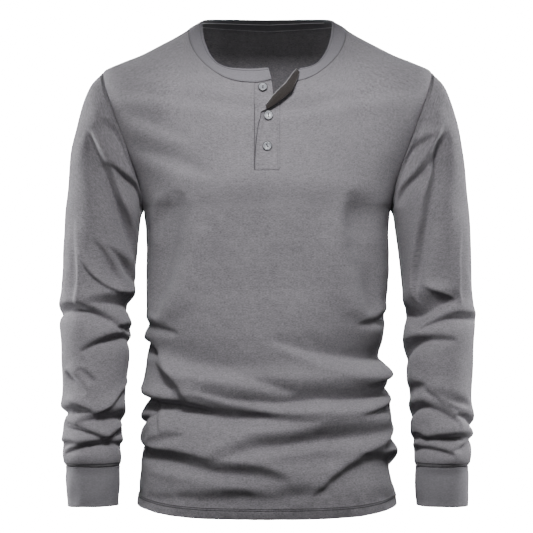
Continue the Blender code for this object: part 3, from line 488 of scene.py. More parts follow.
OVER_ROWS = (
    OverRow(15.9, -203.4, 0.0, -203.7, 0.0, -17.7, -203.9, 0.0),
    OverRow(15.9, -178.0, -0.5, -178.0, 0.0, -16.6, -178.0, 0.0),
    OverRow(15.9, -155.0, -1.5, -155.0, 0.0, -14.6, -155.0, 0.0),
    OverRow(15.9, -139.0, -3.0, -139.0, 0.0, -12.2, -139.0, 0.0),
    OverRow(15.9, -129.5, -4.0, -129.5, 0.0, -9.4, -129.5, 0.2),
    OverRow(15.9, -122.5, -4.4, -121.6, 0.3, -8.6, -123.4, 2.2),
    OverRow(15.9, -117.0, -2.4, -115.0, 1.2, -3.2, -120.0, 5.2),
    OverRow(15.9, -110.5, 2.8, -108.2, 2.0, 6.4, -115.2, 6.2),
    OverRow(16.0, -101.5, 11.0, -97.5, 2.6, 19.0, -106.0, 8.4),
    OverRow(22.3, -92.5, 18.5, -89.5, 2.8, 27.0, -99.0, 9.6),
    OverRow(29.0, -85.2, 25.5, -82.4, 2.8, 34.0, -92.5, 9.6),
    OverRow(34.4, -77.8, 31.5, -74.5, 2.8, 38.0, -84.0, 8.4),
    OverRow(39.0, -70.4, 37.0, -66.8, 2.6, 41.6, -75.0, 6.4),
    OverRow(42.6, -65.0, 41.6, -61.6, 2.4, 44.4, -66.4, 5.0),
)
BAND_END_UNDER_X = (5.0, 0.5)
BAND_END_OVER_X = (36.3, 46.5)
BAND_END_RISE = (4.5, 1.5)

# Driving sizes, in metres
JERSEY_WALL = 0.0011
PLACKET_WALL = 0.0014
SEAM_TUCK = 0.0026
HEM_HEIGHT = -0.691
HEM_SIDE_RISE = 0.010
HEM_DEPTH = 0.0175
SLOT_LEFT = -0.0182
SLOT_RIGHT = 0.0163
SLOT_BOTTOM = -0.2042
OVER_LIFT = 0.0008
UNDER_DROP = 0.0021
FOLD_RADIUS_TORSO = 0.150
FOLD_RADIUS_SLEEVE = 0.050
UNEVEN_LENGTH = 0.14
UNEVEN_DEPTH = 0.0017


# -------- small geometry helpers
Values = Union[float, np.ndarray]


def column(rows: Sequence[object], name: str) -> np.ndarray:
    """Return one named column of a table."""
    return np.array([getattr(row, name) for row in rows], dtype=float)


def table(rows: Sequence[object]) -> dict[str, np.ndarray]:
    """Return all the columns of a table by name."""
    return {field.name: column(rows, field.name) for field in fields(rows[0])}


def smooth_value(where: np.ndarray, stops: np.ndarray, values: np.ndarray) -> np.ndarray:
    """Return a smooth curve through values that never overshoots them.

    Args:
        where: places to read the curve at.
        stops: the places of the values, in any order.
        values: the values there.
    """
    order = np.argsort(stops)
    stops = np.asarray(stops, dtype=float)[order]
    values = np.asarray(values, dtype=float)[order]
    steps = np.diff(stops)
    slopes = np.diff(values) / steps
    tangents = np.zeros(len(stops))
    tangents[0], tangents[-1] = slopes[0], slopes[-1]
    for i in range(1, len(stops) - 1):
        if slopes[i - 1] * slopes[i] > 0:
            before = 2 * steps[i] + steps[i - 1]
            after = steps[i] + 2 * steps[i - 1]
            tangents[i] = (before + after) / (before / slopes[i - 1] + after / slopes[i])
    where = np.clip(where, stops[0], stops[-1])
    place = np.clip(np.searchsorted(stops, where) - 1, 0, len(steps) - 1)
    part = (where - stops[place]) / steps[place]
    share = part * part * (3 - 2 * part)
    rise = steps[place] * (tangents[place] * part * (1 - part) ** 2
                           - tangents[place + 1] * (1 - part) * part ** 2)
    return values[place] + (values[place + 1] - values[place]) * share + rise


def between(ends: Sequence[Values], part: float) -> Values:
    """Return what lies a part of the way from the first of two ends to the second."""
    return (1 - part) * ends[0] + part * ends[1]


def round_ring(count: int) -> np.ndarray:
    """Return evenly spaced angles once round."""
    return np.linspace(0, 2 * math.pi, count, endpoint=False)


def soft_step(part: Values) -> Values:
    """Return a smooth rise from 0 to 1."""
    part = np.clip(part, 0, 1)
    return part * part * (3 - 2 * part)


def run_lengths(points: np.ndarray) -> np.ndarray:
    """Return how far each point lies from the first, along the line or down each column."""
    steps = np.linalg.norm(np.diff(points, axis=0), axis=-1)
    return np.concatenate([np.zeros_like(steps[:1]), np.cumsum(steps, axis=0)])


def spread_along(points: np.ndarray, steps: int) -> np.ndarray:
    """Return steps + 1 points evenly spaced along a smooth line through the points."""
    marks = run_lengths(points)
    wanted = np.linspace(0, marks[-1], steps + 1)
    return np.stack([smooth_value(wanted, marks, points[:, axis])
                     for axis in range(points.shape[1])], axis=-1)


def unit(vectors: np.ndarray) -> np.ndarray:
    """Return vectors with their lengths made one."""
    return vectors / np.maximum(np.linalg.norm(vectors, axis=-1, keepdims=True), 1e-9)


def points_at(where: np.ndarray, places: np.ndarray, points: np.ndarray) -> np.ndarray:
    """Return points read between others whose places along a line are given."""
    return np.stack([np.interp(where, places, values) for values in points.T], axis=-1)


def grid_outward(grid: np.ndarray, flipped: bool, closed: bool = False) -> np.ndarray:
    """Return the direction out of the cloth at each point of a grid."""
    if closed:
        wide = np.concatenate([grid[:, -1:], grid, grid[:, :1]], axis=1)
        along = (wide[:, 2:] - wide[:, :-2]) / 2
    else:
        along = np.gradient(grid, axis=1)
    up = np.gradient(grid, axis=0)
    return unit(np.cross(along, up) * (-1.0 if flipped else 1.0))


def ripple(u: np.ndarray, v: np.ndarray, size: float, seed: int) -> np.ndarray:
    """Return smooth seeded waves from -1 to 1 over a surface.

    Args:
        u, v: places on the surface.
        size: the length of the longest wave.
        seed: which pattern to make.
    """
    chance = np.random.default_rng(seed)
    total = np.zeros_like(u)
    waves = 9
    for _ in range(waves):
        angle = chance.uniform(0, 2 * math.pi)
        length = size * chance.uniform(0.45, 1.0)
        phase = chance.uniform(0, 2 * math.pi)
        way = u * math.cos(angle) + v * math.sin(angle)
        total = total + np.sin(2 * math.pi * way / length + phase)
    return total / math.sqrt(waves * 2)


def fold_relief(turns: np.ndarray, heights: np.ndarray, folds: Iterable[Fold],
                radius: float, seed: int) -> tuple[np.ndarray, np.ndarray]:
    """Return how far folded cloth stands out and how far it hangs down.

    Args:
        turns: degrees round the form.
        heights: metres.
        folds: the table of folds.
        radius: the form's mean radius, which turns degrees into a length.
        seed: which small unevenness the folds get.
    """
    flat_x = np.radians(turns) * radius
    uneven = ripple(flat_x, heights, UNEVEN_LENGTH, seed) * UNEVEN_DEPTH
    stand = np.zeros_like(heights)
    hang = np.zeros_like(heights)
    for order, fold in enumerate(folds):
        middle = (fold.turn_from + fold.turn_to) / 2
        turned = (turns - middle + 180) % 360 - 180 + middle
        run = np.radians(fold.turn_to - fold.turn_from) * radius
        rise = (fold.height_to - fold.height_from) * MM
        length = math.hypot(run, rise)
        along_x, along_z = run / length, rise / length
        flip = 1.0 if along_x > 0 else -1.0
        x = np.radians(turned - fold.turn_from) * radius
        z = heights - fold.height_from * MM
        along = (x * along_x + z * along_z) / length
        part = np.clip(along, 0, 1)
        across = flip * (z * along_x - x * along_z) + uneven
        across = across + 4 * fold.sag * MM * part * (1 - part)
        # Each fold swells along its length in its own way, and dies out at both ends
        swell = 1 + 0.15 * np.sin(along * 8.0 + order * 2.1)
        lean = math.log(0.5) / math.log(fold.peak)
        fade = np.sin(np.pi * part ** lean) ** 0.6 * np.exp(-((along - part) * 6) ** 2)
        taper = (0.35 + 0.65 * fade) * MM
        # The ridge and the valley share the wall between them
        side = math.copysign(1.0, fold.band)
        above, below = (fold.upper, fold.lower)[::int(side)]
        wall = 0.85 * abs(fold.band) * taper
        off = (across - fold.band * taper) * side
        spread = np.where(off > 0, above * taper, wall * (1 - 0.5 * fold.crest))
        ridge = fold.ridge * np.exp(-np.abs(off / spread) ** (2 - 0.85 * fold.crest))
        spread = np.where(across * side < 0, below * taper, wall)
        valley = fold.valley * np.exp(-np.abs(across / spread) ** (2 - 0.85 * fold.foot))
        stand = stand + MM * fade * swell * (ridge - valley)
        lip = np.exp(-((across / (fold.band * taper) - 0.8) / 0.6) ** 2)
        hang = hang + MM * fade * fold.slump * lip
    return stand, hang


# -------- the worn forms
class TorsoForm:
    """The worn torso: level rings, armholes, shoulders and neckline."""

    def __init__(self, rings: Sequence[TorsoRing]) -> None:
        """Keep the rings as columns.

        Args:
            rings: the level rings, from the hem up.
        """
        self.columns = {name: values * (1.0 if name.endswith("round") else MM)
                        for name, values in table(rings).items()}

    def value(self, name: str, height: np.ndarray) -> np.ndarray:
        """Return one column of the rings at a height."""
        return smooth_value(np.asarray(height, dtype=float), self.columns["height"],
                            self.columns[name])

    def y_at(self, side: np.ndarray, height: np.ndarray, panel: Panel) -> np.ndarray:
        """Return y on one face of the torso."""
        depth = self.value(panel.value + "_depth", height)
        power = self.value(panel.value + "_round", height)
        share = np.clip(np.abs(side) / self.value("half_width", height), 0, 1)
        reach = depth * np.clip(1 - share ** power, 0, 1) ** (1 / power)
        return self.value("ridge_y", height) + (-reach if panel is Panel.FRONT else reach)

    def x_at(self, turn: np.ndarray, height: np.ndarray, panel: Panel) -> np.ndarray:
        """Return x for a turn from the middle of a panel."""
        power = self.value(panel.value + "_round", height)
        swing = np.sign(np.sin(turn)) * np.abs(np.sin(turn)) ** (2 / power)
        return self.value("half_width", height) * swing

    def outward(self, points: np.ndarray, panel: Panel) -> np.ndarray:
        """Return the level direction out of the torso at each point."""
        side, depth_way, height = points[..., 0], points[..., 1], points[..., 2]
        half_width = self.value("half_width", height)
        depth = self.value(panel.value + "_depth", height)
        power = self.value(panel.value + "_round", height)
        off = depth_way - self.value("ridge_y", height)
        out_x = np.sign(side) * np.abs(side / half_width) ** (power - 1) / half_width
        out_y = np.sign(off) * np.abs(off / depth) ** (power - 1) / depth
        length = np.maximum(np.hypot(out_x, out_y), 1e-9)
        return np.stack([out_x / length, out_y / length, np.zeros_like(out_x)], axis=-1)

    def fold_point(self, points: np.ndarray, panel: Panel) -> np.ndarray:
        """Return points moved by the torso's folds and small waves."""
        turns = np.degrees(np.arctan2(points[..., 0], -points[..., 1]))
        heights = points[..., 2]
        stand, hang = fold_relief(turns, heights, TORSO_FOLDS, FOLD_RADIUS_TORSO, seed=4)
        flat_x = np.sin(np.radians(turns)) * FOLD_RADIUS_TORSO * 1.2
        calm = 1 - 0.7 * soft_step((heights + 0.30) / 0.12)
        stand = stand + 0.0011 * ripple(flat_x, heights, 0.16, 11) * calm
        stand = stand + 0.0004 * ripple(flat_x, heights, 0.045, 12) * calm
        # The armhole seam holds the cloth flat
        arm_heights = column(ARMHOLE, "height") * MM
        seam = np.interp(heights, arm_heights, column(ARMHOLE, "side") * MM)
        held = soft_step((heights - arm_heights[0] + 0.015) / 0.03)
        held = held * np.exp(-((seam - np.abs(points[..., 0])) / 0.022) ** 2)
        moved = points + self.outward(points, panel) * (stand * (1 - 0.85 * held))[..., None]
        moved[..., 2] -= hang * (1 - held)
        return moved

    def armhole(self, share: np.ndarray) -> np.ndarray:
        """Return x and z along the armhole seam, from 0 at the underarm to 1 at the tip."""
        marks = np.linspace(0, 1, len(ARMHOLE))
        return np.stack([smooth_value(share, marks, column(ARMHOLE, "side")),
                         smooth_value(share, marks, column(ARMHOLE, "height"))], axis=-1) * MM

    def ridge(self, steps: int) -> np.ndarray:
        """Return x and z along the shoulder seam, from its tip to the neck."""
        heights = np.linspace(ARMHOLE[-1].height, FRONT_NECK[-1].seam_z, 25) * MM
        line = np.column_stack([self.value("half_width", heights), heights])
        even = spread_along(line, steps)
        even[:, 0] = self.value("half_width", even[:, 1])
        return even

    def half_neck(self, panel: Panel, steps: int) -> np.ndarray:
        """Return the neckline from the middle out: seam x, y, z and top edge x, y, z."""
        rows = FRONT_NECK if panel is Panel.FRONT else BACK_NECK
        line = spread_along(np.stack(list(table(rows).values()), axis=-1), steps) * MM
        y = self.y_at(line[:, 0], line[:, 1], panel)
        y[-1] = self.value("ridge_y", line[-1, 1])
        return np.column_stack([line[:, 0], y, line[:, 1], line[:, 2:]])


@dataclass(frozen=True)
class TorsoPanels:
    """Lays the front and back panels on the torso form."""

    LOW_ROWS = 176
    ARMHOLE_ROWS = 62
    SHOULDER_STEPS = 36
    NECK_STEPS = {Panel.FRONT: 40, Panel.BACK: 30}

    form: TorsoForm

    def flat_grid(self, panel: Panel) -> np.ndarray:
        """Return x and z of a panel's points, seen from the front."""
        steps = self.SHOULDER_STEPS + self.NECK_STEPS[panel]
        turns = np.linspace(-math.pi / 2, math.pi / 2, 2 * steps + 1)
        underarm = ARMHOLE[0].height * MM
        rows = []
        for share in np.linspace(1, 0, self.LOW_ROWS + 1):
            hem = HEM_HEIGHT + HEM_SIDE_RISE * np.sin(turns) ** 4
            height = underarm + share * (hem - underarm)
            rows.append(np.stack([self.form.x_at(turns, height, panel), height], axis=-1))
        floor = rows[-1]
        neck = self.form.half_neck(panel, self.NECK_STEPS[panel])[::-1][:, [0, 2]]
        half = np.concatenate([self.form.ridge(self.SHOULDER_STEPS), neck[1:]])
        top = np.concatenate([half * np.array([-1, 1]), half[::-1][1:]])
        across = np.linspace(0, 1, len(turns))[:, None]
        for step in range(1, self.ARMHOLE_ROWS + 1):
            up = step / self.ARMHOLE_ROWS
            left = self.form.armhole(np.array(up))
            right = left * np.array([-1, 1])
            straight = between((floor, top), up)
            right_off = right - straight[0]
            left_off = left - straight[-1]
            rows.append(straight + (1 - across) * right_off + across * left_off)
        return np.array(rows)


@dataclass(frozen=True)
class SleeveForm:
    """One sleeve, from its armhole on the torso's form to its wrist."""

    AROUND = 116
    RINGS = 236

    form: TorsoForm
    side: Side

    def armhole_loop(self) -> np.ndarray:
        """Return the armhole from the underarm over the front and down the back."""
        half = self.AROUND // 2
        line = self.form.armhole(np.linspace(0, 1, half + 1))
        loops = []
        for panel in (Panel.FRONT, Panel.BACK):
            y = self.form.y_at(line[:, 0], line[:, 1], panel)
            y[0] = 0
            y[-1] = self.form.value("ridge_y", line[-1, 1])
            base = np.stack([self.side.value * line[:, 0], y, line[:, 1]], axis=-1)
            loops.append(self.form.fold_point(base, panel))
        return np.concatenate([loops[0], loops[1][-2:0:-1]])

    def points(self) -> np.ndarray:
        """Return the sleeve's rings of points from the armhole down."""
        sign = np.array([self.side.value, 1, 1])
        angles = round_ring(self.AROUND)
        columns = {name: values * MM for name, values in table(SLEEVE_RINGS).items()}
        middle = np.stack([(columns["inner_x"] + columns["outer_x"]) / 2,
                           (columns["inner_z"] + columns["outer_z"]) / 2], axis=-1)
        marks = run_lengths(middle)
        loop = self.armhole_loop() * sign
        inner0 = np.array([columns["inner_x"][0], 0, columns["inner_z"][0]])
        outer0 = np.array([columns["outer_x"][0], 0, columns["outer_z"][0]])
        span = outer0 - inner0
        seam_share = (loop - inner0) @ span / (span @ span)
        seam_depth = loop[:, 1] / columns["half_depth"][0]
        seam_rest = loop - inner0 - seam_share[:, None] * span
        seam_rest[:, 1] = 0
        folds = LEFT_SLEEVE_FOLDS if self.side is Side.LEFT else RIGHT_SLEEVE_FOLDS
        head = marks[HEAD_RINGS]
        rows = []
        for mark in np.linspace(0, marks[-1], self.RINGS + 1):
            ring = {name: float(smooth_value(np.array(mark), marks, values))
                    for name, values in columns.items()}
            blend = soft_step(mark / head)
            inner = np.array([ring["inner_x"], ring["middle_y"], ring["inner_z"]])
            outer = np.array([ring["outer_x"], ring["middle_y"], ring["outer_z"]])
            share = (1 - blend) * seam_share + blend * (1 - np.cos(angles)) / 2
            depth = (1 - blend) * seam_depth - blend * np.sin(angles)
            ring_points = inner + share[:, None] * (outer - inner) + (1 - blend) * seam_rest
            ring_points[:, 1] += depth * ring["half_depth"]
            turns = np.degrees(angles)
            stand, hang = fold_relief(turns, ring_points[:, 2], folds, FOLD_RADIUS_SLEEVE,
                                      seed=21 + self.side.value)
            flat_x = np.sin(angles) * FOLD_RADIUS_SLEEVE * 1.2
            stand = stand + 0.0009 * ripple(flat_x, ring_points[:, 2], 0.09, 31 + self.side.value)
            fade = soft_step(mark / (0.11 * head))
            out = ring_points - (inner + outer) / 2
            out[:, 1] *= np.linalg.norm(outer - inner) / (2 * ring["half_depth"])
            ring_points = ring_points + unit(out) * (stand * fade)[:, None]
            ring_points[:, 2] -= hang * fade
            rows.append(ring_points * sign)
        return np.array(rows)


# -------- cloth as meshes
@dataclass(frozen=True)
class EdgeRow:
    """One row of a turned-in border.

    Attributes:
        inside: how far it lies from the edge, into the piece.
        depth: how far it lies under the face of the cloth, in metres.
        turn: how far the cloth has turned there, in degrees.
    """

    inside: float
    depth: float
    turn: float


SEAM_EDGE = (
    EdgeRow(0.00085, 0.00005, 18),
    EdgeRow(0.00035, 0.00035, 55),
    EdgeRow(0.00018, 0.00110, 88),
    EdgeRow(0.00045, SEAM_TUCK, 90),
)
NECK_EDGE = (
    EdgeRow(0.00150, 0.00015, 20),
    EdgeRow(0.00065, 0.00060, 55),
    EdgeRow(0.00025, 0.00150, 88),
    EdgeRow(0.00050, SEAM_TUCK, 90),
)
HEM_EDGE = (
    EdgeRow(0.00080, 0.00005, 20),
    EdgeRow(0.00020, 0.00055, 60),
    EdgeRow(0.00005, 0.00120, 90),
    EdgeRow(0.00020, 0.00185, 130),
    EdgeRow(0.00090, 0.00235, 175),
    EdgeRow(0.00500, 0.00240, 180),
    EdgeRow(0.01000, 0.00235, 180),
)


@dataclass
class Sheet:
    """One open piece of cloth before it has a thickness.

    Attributes:
        points: its points.
        outward: the direction out of the cloth at each point.
        faces: four point numbers a face, seen from outside.
        uvs: the place of each face corner on the flat cloth, in metres.
    """

    EDGE_ARCS = 4
    EDGE_UV_STEP = 0.0007

    points: np.ndarray
    outward: np.ndarray
    faces: np.ndarray
    uvs: np.ndarray

    @classmethod
    def from_grid(cls, grid: np.ndarray, flipped: bool = False, closed: bool = False,
                  gap: Optional[np.ndarray] = None) -> "Sheet":
        """Return a sheet on a grid of points.

        Args:
            grid: rows of points.
            flipped: whether the outside is on the other side of the grid.
            closed: whether the rows are rings.
            gap: which cells of the grid are left out.
        """
        rows, columns = grid.shape[:2]
        row, start = np.meshgrid(np.arange(rows - 1), np.arange(columns - (not closed)),
                                 indexing="ij")
        if gap is not None:
            kept = ~gap[row, start]
            row, start = row[kept], start[kept]
        row, start = row.ravel(), start.ravel()
        corners = ((0, 0), (1, 0), (1, 1), (0, 1))
        faces = np.stack([(row + up) * columns + (start + on) % columns for on, up in corners], -1)
        around = np.concatenate([grid, grid[:, :1]], axis=1) if closed else grid
        wide = np.linalg.norm(np.diff(around, axis=1), axis=-1).mean(axis=0)
        tall = np.linalg.norm(np.diff(grid, axis=0), axis=-1).mean(axis=1)
        u = np.concatenate([[0], np.cumsum(wide)])
        v = np.concatenate([[0], np.cumsum(tall)])
        uvs = np.stack([np.stack([u[start + on], v[row + up]], -1) for on, up in corners], 1)
        outward = grid_outward(grid, flipped, closed)
        if flipped:
            faces, uvs = faces[:, ::-1], uvs[:, ::-1]
        return cls(grid.reshape(-1, 3).copy(), outward.reshape(-1, 3), faces, uvs)

    def borders(self) -> tuple[np.ndarray, np.ndarray]:
        """Return the border's edges, as the faces run, and the face corner each starts at."""
        starts = self.faces.ravel()
        ends = np.roll(self.faces, -1, axis=1).ravel()
        known = set(zip(ends.tolist(), starts.tolist()))
        alone = np.array([i for i, pair in enumerate(zip(starts.tolist(), ends.tolist()))
                          if pair not in known], dtype=int)
        return np.stack([starts[alone], ends[alone]], axis=-1), alone

    def into_piece(self, edges: np.ndarray) -> np.ndarray:
        """Return the direction from the border into the piece at each point."""
        along = np.zeros_like(self.points)
        steps = unit(self.points[edges[:, 1]] - self.points[edges[:, 0]])
        np.add.at(along, edges[:, 0], steps)
        np.add.at(along, edges[:, 1], steps)
        return unit(np.cross(self.outward, along))

    def marked(self, first: int, end: int) -> np.ndarray:
        """Return a mark for each point, true from one point number up to another."""
        numbers = np.arange(len(self.points))
        return (numbers >= first) & (numbers < end)

    def edge_uvs(self, corners: np.ndarray) -> tuple[np.ndarray, np.ndarray]:
        """Return where border edges start and end on the flat cloth.

        Args:
            corners: the face corner that each edge starts at.
        """
        flat = self.uvs.reshape(-1, 2)
        return flat[corners], flat[corners // 4 * 4 + (corners + 1) % 4]

    def with_edge(self, marks: np.ndarray, edge_rows: Sequence[EdgeRow]) -> "Sheet":
        """Return the sheet with part of its border turned in.

        Args:
            marks: which points have the turned-in border.
            edge_rows: the border's rows, the first of which replaces the border.
        """
        edges, corners = self.borders()
        picked = marks[edges].all(axis=1)
        used, places = np.unique(edges[picked], return_inverse=True)
        out, into = self.outward[used], self.into_piece(edges)[used]
        uv_start, uv_end = self.edge_uvs(corners[picked])
        points, outward = [self.points.copy()], [self.outward.copy()]
        faces, uvs = [self.faces], [self.uvs]
        near, far = used, len(self.points) + np.arange(len(used))
        drop = np.zeros(2)
        for row in edge_rows:
            turn = math.radians(row.turn)
            moved = self.points[used] + into * row.inside - out * row.depth
            normal = out * math.cos(turn) - into * math.sin(turn)
            if row is edge_rows[0]:
                points[0][used] = moved
                outward[0][used] = normal
                continue
            points.append(moved)
            outward.append(normal)
            faces.append(strip_faces(places, near, far))
            drop = drop + np.array([0.0, self.EDGE_UV_STEP])
            uvs.append(np.stack([uv_start - drop, uv_end - drop, uv_end, uv_start], axis=1))
            near, far = far, far + len(used)
        return Sheet(*map(np.concatenate, (points, outward, faces, uvs)))

    def shell(self, name: str, wall: float) -> Object:
        """Return the sheet as a closed mesh object with rounded edges.

        Args:
            name: the object's name.
            wall: the cloth's thickness.
        """
        count = len(self.points)
        inner = self.points - self.outward * wall
        edges, corners = self.borders()
        used, places = np.unique(edges, return_inverse=True)
        out, into = self.outward[used], self.into_piece(edges)[used]
        uv_start, uv_end = self.edge_uvs(corners)
        edge_uv = np.stack([uv_start, uv_end, uv_end, uv_start], axis=1)
        points = [self.points, inner]
        faces = [self.faces, self.faces[:, ::-1] + count]
        uvs = [self.uvs, self.uvs[:, ::-1]]
        near, far = used, 2 * count + np.arange(len(used))
        for angle in np.arange(1, self.EDGE_ARCS) * math.pi / self.EDGE_ARCS:
            ring = (self.points[used] + inner[used]) / 2 - into * math.sin(angle) * wall / 2
            points.append(ring + out * math.cos(angle) * wall / 2)
            faces.append(strip_faces(places, near, far))
            uvs.append(edge_uv)
            near, far = far, far + len(used)
        faces.append(strip_faces(places, near, used + count))
        uvs.append(edge_uv)
        return mesh_object(name, *map(np.concatenate, (points, faces, uvs)))


def strip_faces(places: np.ndarray, near: np.ndarray, far: np.ndarray) -> np.ndarray:
    """Return the faces between two rings of points.

    Args:
        places: the start and end of each face's edge, as places in a ring.
        near: the point numbers of the ring that is already there.
        far: those of the ring beyond it.
    """
    start, end = places.reshape(-1, 2).T
    return np.stack([far[start], far[end], near[end], near[start]], axis=-1)


def new_object(name: str, data: ID) -> Object:
    """Return a new object that is in the scene."""
    made = bpy.data.objects.new(name, data)
    bpy.context.scene.collection.objects.link(made)
    return made


def evaluated_mesh(thing: Object) -> Mesh:
    """Return an object's mesh as its modifiers leave it."""
    graph = bpy.context.evaluated_depsgraph_get()
    return bpy.data.meshes.new_from_object(thing.evaluated_get(graph), depsgraph=graph)


def mesh_object(name: str, points: np.ndarray, faces: np.ndarray,
                uvs: Optional[np.ndarray] = None) -> Object:
    """Return a smooth mesh object made of four-sided faces.

    Args:
        name: the object's name.
        points: its points.
        faces: four point numbers a face.
        uvs: the place of each face corner on the flat cloth.
    """
    mesh = bpy.data.meshes.new(name)
    mesh.vertices.add(len(points))
    mesh.vertices.foreach_set("co", points.astype(np.float32).ravel())
    mesh.loops.add(faces.size)
    mesh.loops.foreach_set("vertex_index", faces.astype(np.int32).ravel())
    mesh.polygons.add(len(faces))
    mesh.polygons.foreach_set("loop_start", np.arange(0, faces.size, 4, dtype=np.int32))
    if uvs is not None:
        layer = mesh.uv_layers.new(name="cloth")
        layer.data.foreach_set("uv", uvs.astype(np.float32).ravel())
    mesh.update(calc_edges=True)
    mesh.validate()
    mesh.shade_smooth()
    return new_object(name, mesh)


def dress(thing: Object, node: str, finish: Finish) -> None:
    """Give a piece its material, hang it on the body and hide the CAD node it stands for."""
    thing.data.materials.clear()
    thing.data.materials.append(made_of(finish))
    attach(thing, BODY)
    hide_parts(node)


def box_of(node: str) -> tuple[np.ndarray, np.ndarray]:
    """Return a CAD node's lowest and highest corners."""
    low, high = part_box(node)
    return np.array(low), np.array(high)


# -------- node trees
def set_inputs(node: Node, inputs: dict) -> None:
    """Set a node's inputs by name or number.

    Args:
        node: the node.
        inputs: for each input its value, the socket that feeds it, or the node whose
            first output does.
    """
    for name, value in inputs.items():
        if isinstance(value, Node):
            value = value.outputs[0]
        if isinstance(value, NodeSocket):
            node.id_data.links.new(value, node.inputs[name])
        else:
            node.inputs[name].default_value = value


def new_node(tree: NodeTree, kind: str, inputs: Optional[dict] = None,
             **settings: object) -> Node:
    """Return a new node of a kind, with its inputs as set_inputs takes them and its settings."""
    node = tree.nodes.new(kind)
    for name, value in settings.items():
        setattr(node, name, value)
    set_inputs(node, inputs or {})
    return node


# -------- knits, threads and resins
def new_material(name: str) -> tuple[Material, NodeTree, Node]:
    """Return a new material, its tree and its shader."""
    material = bpy.data.materials.new(name)
    material.use_nodes = True
    tree = material.node_tree
    return material, tree, tree.nodes["Principled BSDF"]


def maths(tree: NodeTree, operation: str, first: object, second: object = 0.0) -> Node:
    """Return one sum of two sockets, nodes or numbers."""
    return new_node(tree, "ShaderNodeMath", {0: first, 1: second}, operation=operation)


def noise(tree: NodeTree, place: NodeSocket, cells: float, detail: float) -> Node:
    """Return a noise of so many cells a metre."""
    return new_node(tree, "ShaderNodeTexNoise",
                    {"Vector": place, "Scale": cells, "Detail": detail})


def blend(tree: NodeTree, colour: str, other: str, share: Node) -> NodeSocket:
    """Return two hex colours mixed by the share of the second."""
    return new_node(tree, "ShaderNodeMix",
                    {"A": (*linear(colour), 1), "B": (*linear(other), 1), "Factor": share},
                    data_type="RGBA").outputs["Result"]


def relief(tree: NodeTree, height: Node, depth: float) -> Node:
    """Return a fine relief."""
    return new_node(tree, "ShaderNodeBump",
                    {"Strength": 0.4, "Distance": depth, "Height": height})


def knit(finish: KnitFinish) -> Material:
    """Return a knitted cotton: flecked yarn, fine wales and courses, soft fuzz."""
    material, tree, shader = new_material(finish.name)
    sums = partial(maths, tree)
    flat = new_node(tree, "ShaderNodeUVMap", uv_map="cloth")
    split = new_node(tree, "ShaderNodeSeparateXYZ", {"Vector": flat}).outputs
    body = new_node(tree, "ShaderNodeTexCoord").outputs["Object"]
    # Fleck of the mixed fibres: fine grains, drawn out along the courses, and clouds
    drawn = new_node(tree, "ShaderNodeMapping", {"Vector": flat, "Scale": (0.45, 1.0, 1.0)})
    grain, slub, cloud = (
        noise(tree, place, fleck.cells, fleck.detail)
        for place, fleck in ((drawn, GRAIN), (drawn, SLUB), (body, CLOUD)))
    grains, slubs, clouds = (
        sums("MULTIPLY", sums("SUBTRACT", cells, 0.5), fleck.gain)
        for cells, fleck in ((grain, GRAIN), (slub, SLUB), (cloud, CLOUD)))
    mixed = sums("ADD", sums("ADD", grains, slubs), clouds)
    share = sums("ADD", sums("MULTIPLY", mixed, 2.0 * finish.grain), 0.44)
    # Wales and courses: rounded columns, and slanted stitches in them
    wales = sums("MULTIPLY", split["X"], 2 * math.pi / finish.wale)
    column_wave = sums("SINE", wales)
    slant = sums("MULTIPLY", sums("ABSOLUTE", column_wave), 1.2)
    courses = sums("MULTIPLY", split["Y"], 2 * math.pi / finish.course)
    row_wave = sums("SINE", sums("ADD", courses, slant))
    row_share = 0.25 if finish.knit is Knit.RIB else 0.6
    height = sums("ADD", column_wave, sums("MULTIPLY", row_wave, row_share))
    height = sums("ADD", height, sums("MULTIPLY", grain, 0.25))
    if finish.knit is Knit.RIB:
        # Painted shade: the hollows between the ribs are darkened in the colour
        rib_hollow_shade = sums("MULTIPLY", sums("SUBTRACT", 1.0, column_wave), 0.22)
        share = sums("ADD", share, rib_hollow_shade)
    set_inputs(shader, {
        "Base Color": blend(tree, finish.colour, finish.fleck_colour, share),
        "Normal": relief(tree, height, finish.bump), "Roughness": 0.92,
        "Specular IOR Level": 0.18, "Sheen Weight": 0.22, "Sheen Roughness": 0.55,
        "Sheen Tint": (0.85, 0.85, 0.9, 1)})
    return material


def thread(finish: ThreadFinish) -> Material:
    """Return a spun polyester sewing thread, or a plain resin."""
    material, tree, shader = new_material(finish.name)
    body = new_node(tree, "ShaderNodeTexCoord").outputs["Object"]
    twist = noise(tree, body, 2600.0, 1.0)
    set_inputs(shader, {
        "Base Color": (*linear(finish.colour), 1), "Roughness": finish.roughness,
        "Normal": relief(tree, twist, 0.0001), "Sheen Weight": 0.2})
    return material


def button(finish: ButtonFinish) -> Material:
    """Return a pearly resin with soft clouds and a clear gloss."""
    material, tree, shader = new_material(finish.name)
    body = new_node(tree, "ShaderNodeTexCoord").outputs["Object"]
    clouds = noise(tree, body, 260.0, 3.0)
    set_inputs(shader, {
        "Base Color": blend(tree, finish.colour, finish.cloud_colour, clouds),
        "Roughness": finish.roughness, "Coat Weight": 0.08, "Coat Roughness": 0.12})
    return material


@cache
def made_of(finish: Finish) -> Material:
    """Return the material of a finish, which is made only once."""
    makers = {KnitFinish: knit, ThreadFinish: thread, ButtonFinish: button}
    return makers[type(finish)](finish)


# -------- stitches
# How much of its pitch half a stitch fills, and how much stitches differ in size
STITCH_FILL = 0.46
LEAST_STITCH = (0.9, 0.9, 0.88)
MOST_STITCH = (1.1, 1.1, 1.06)


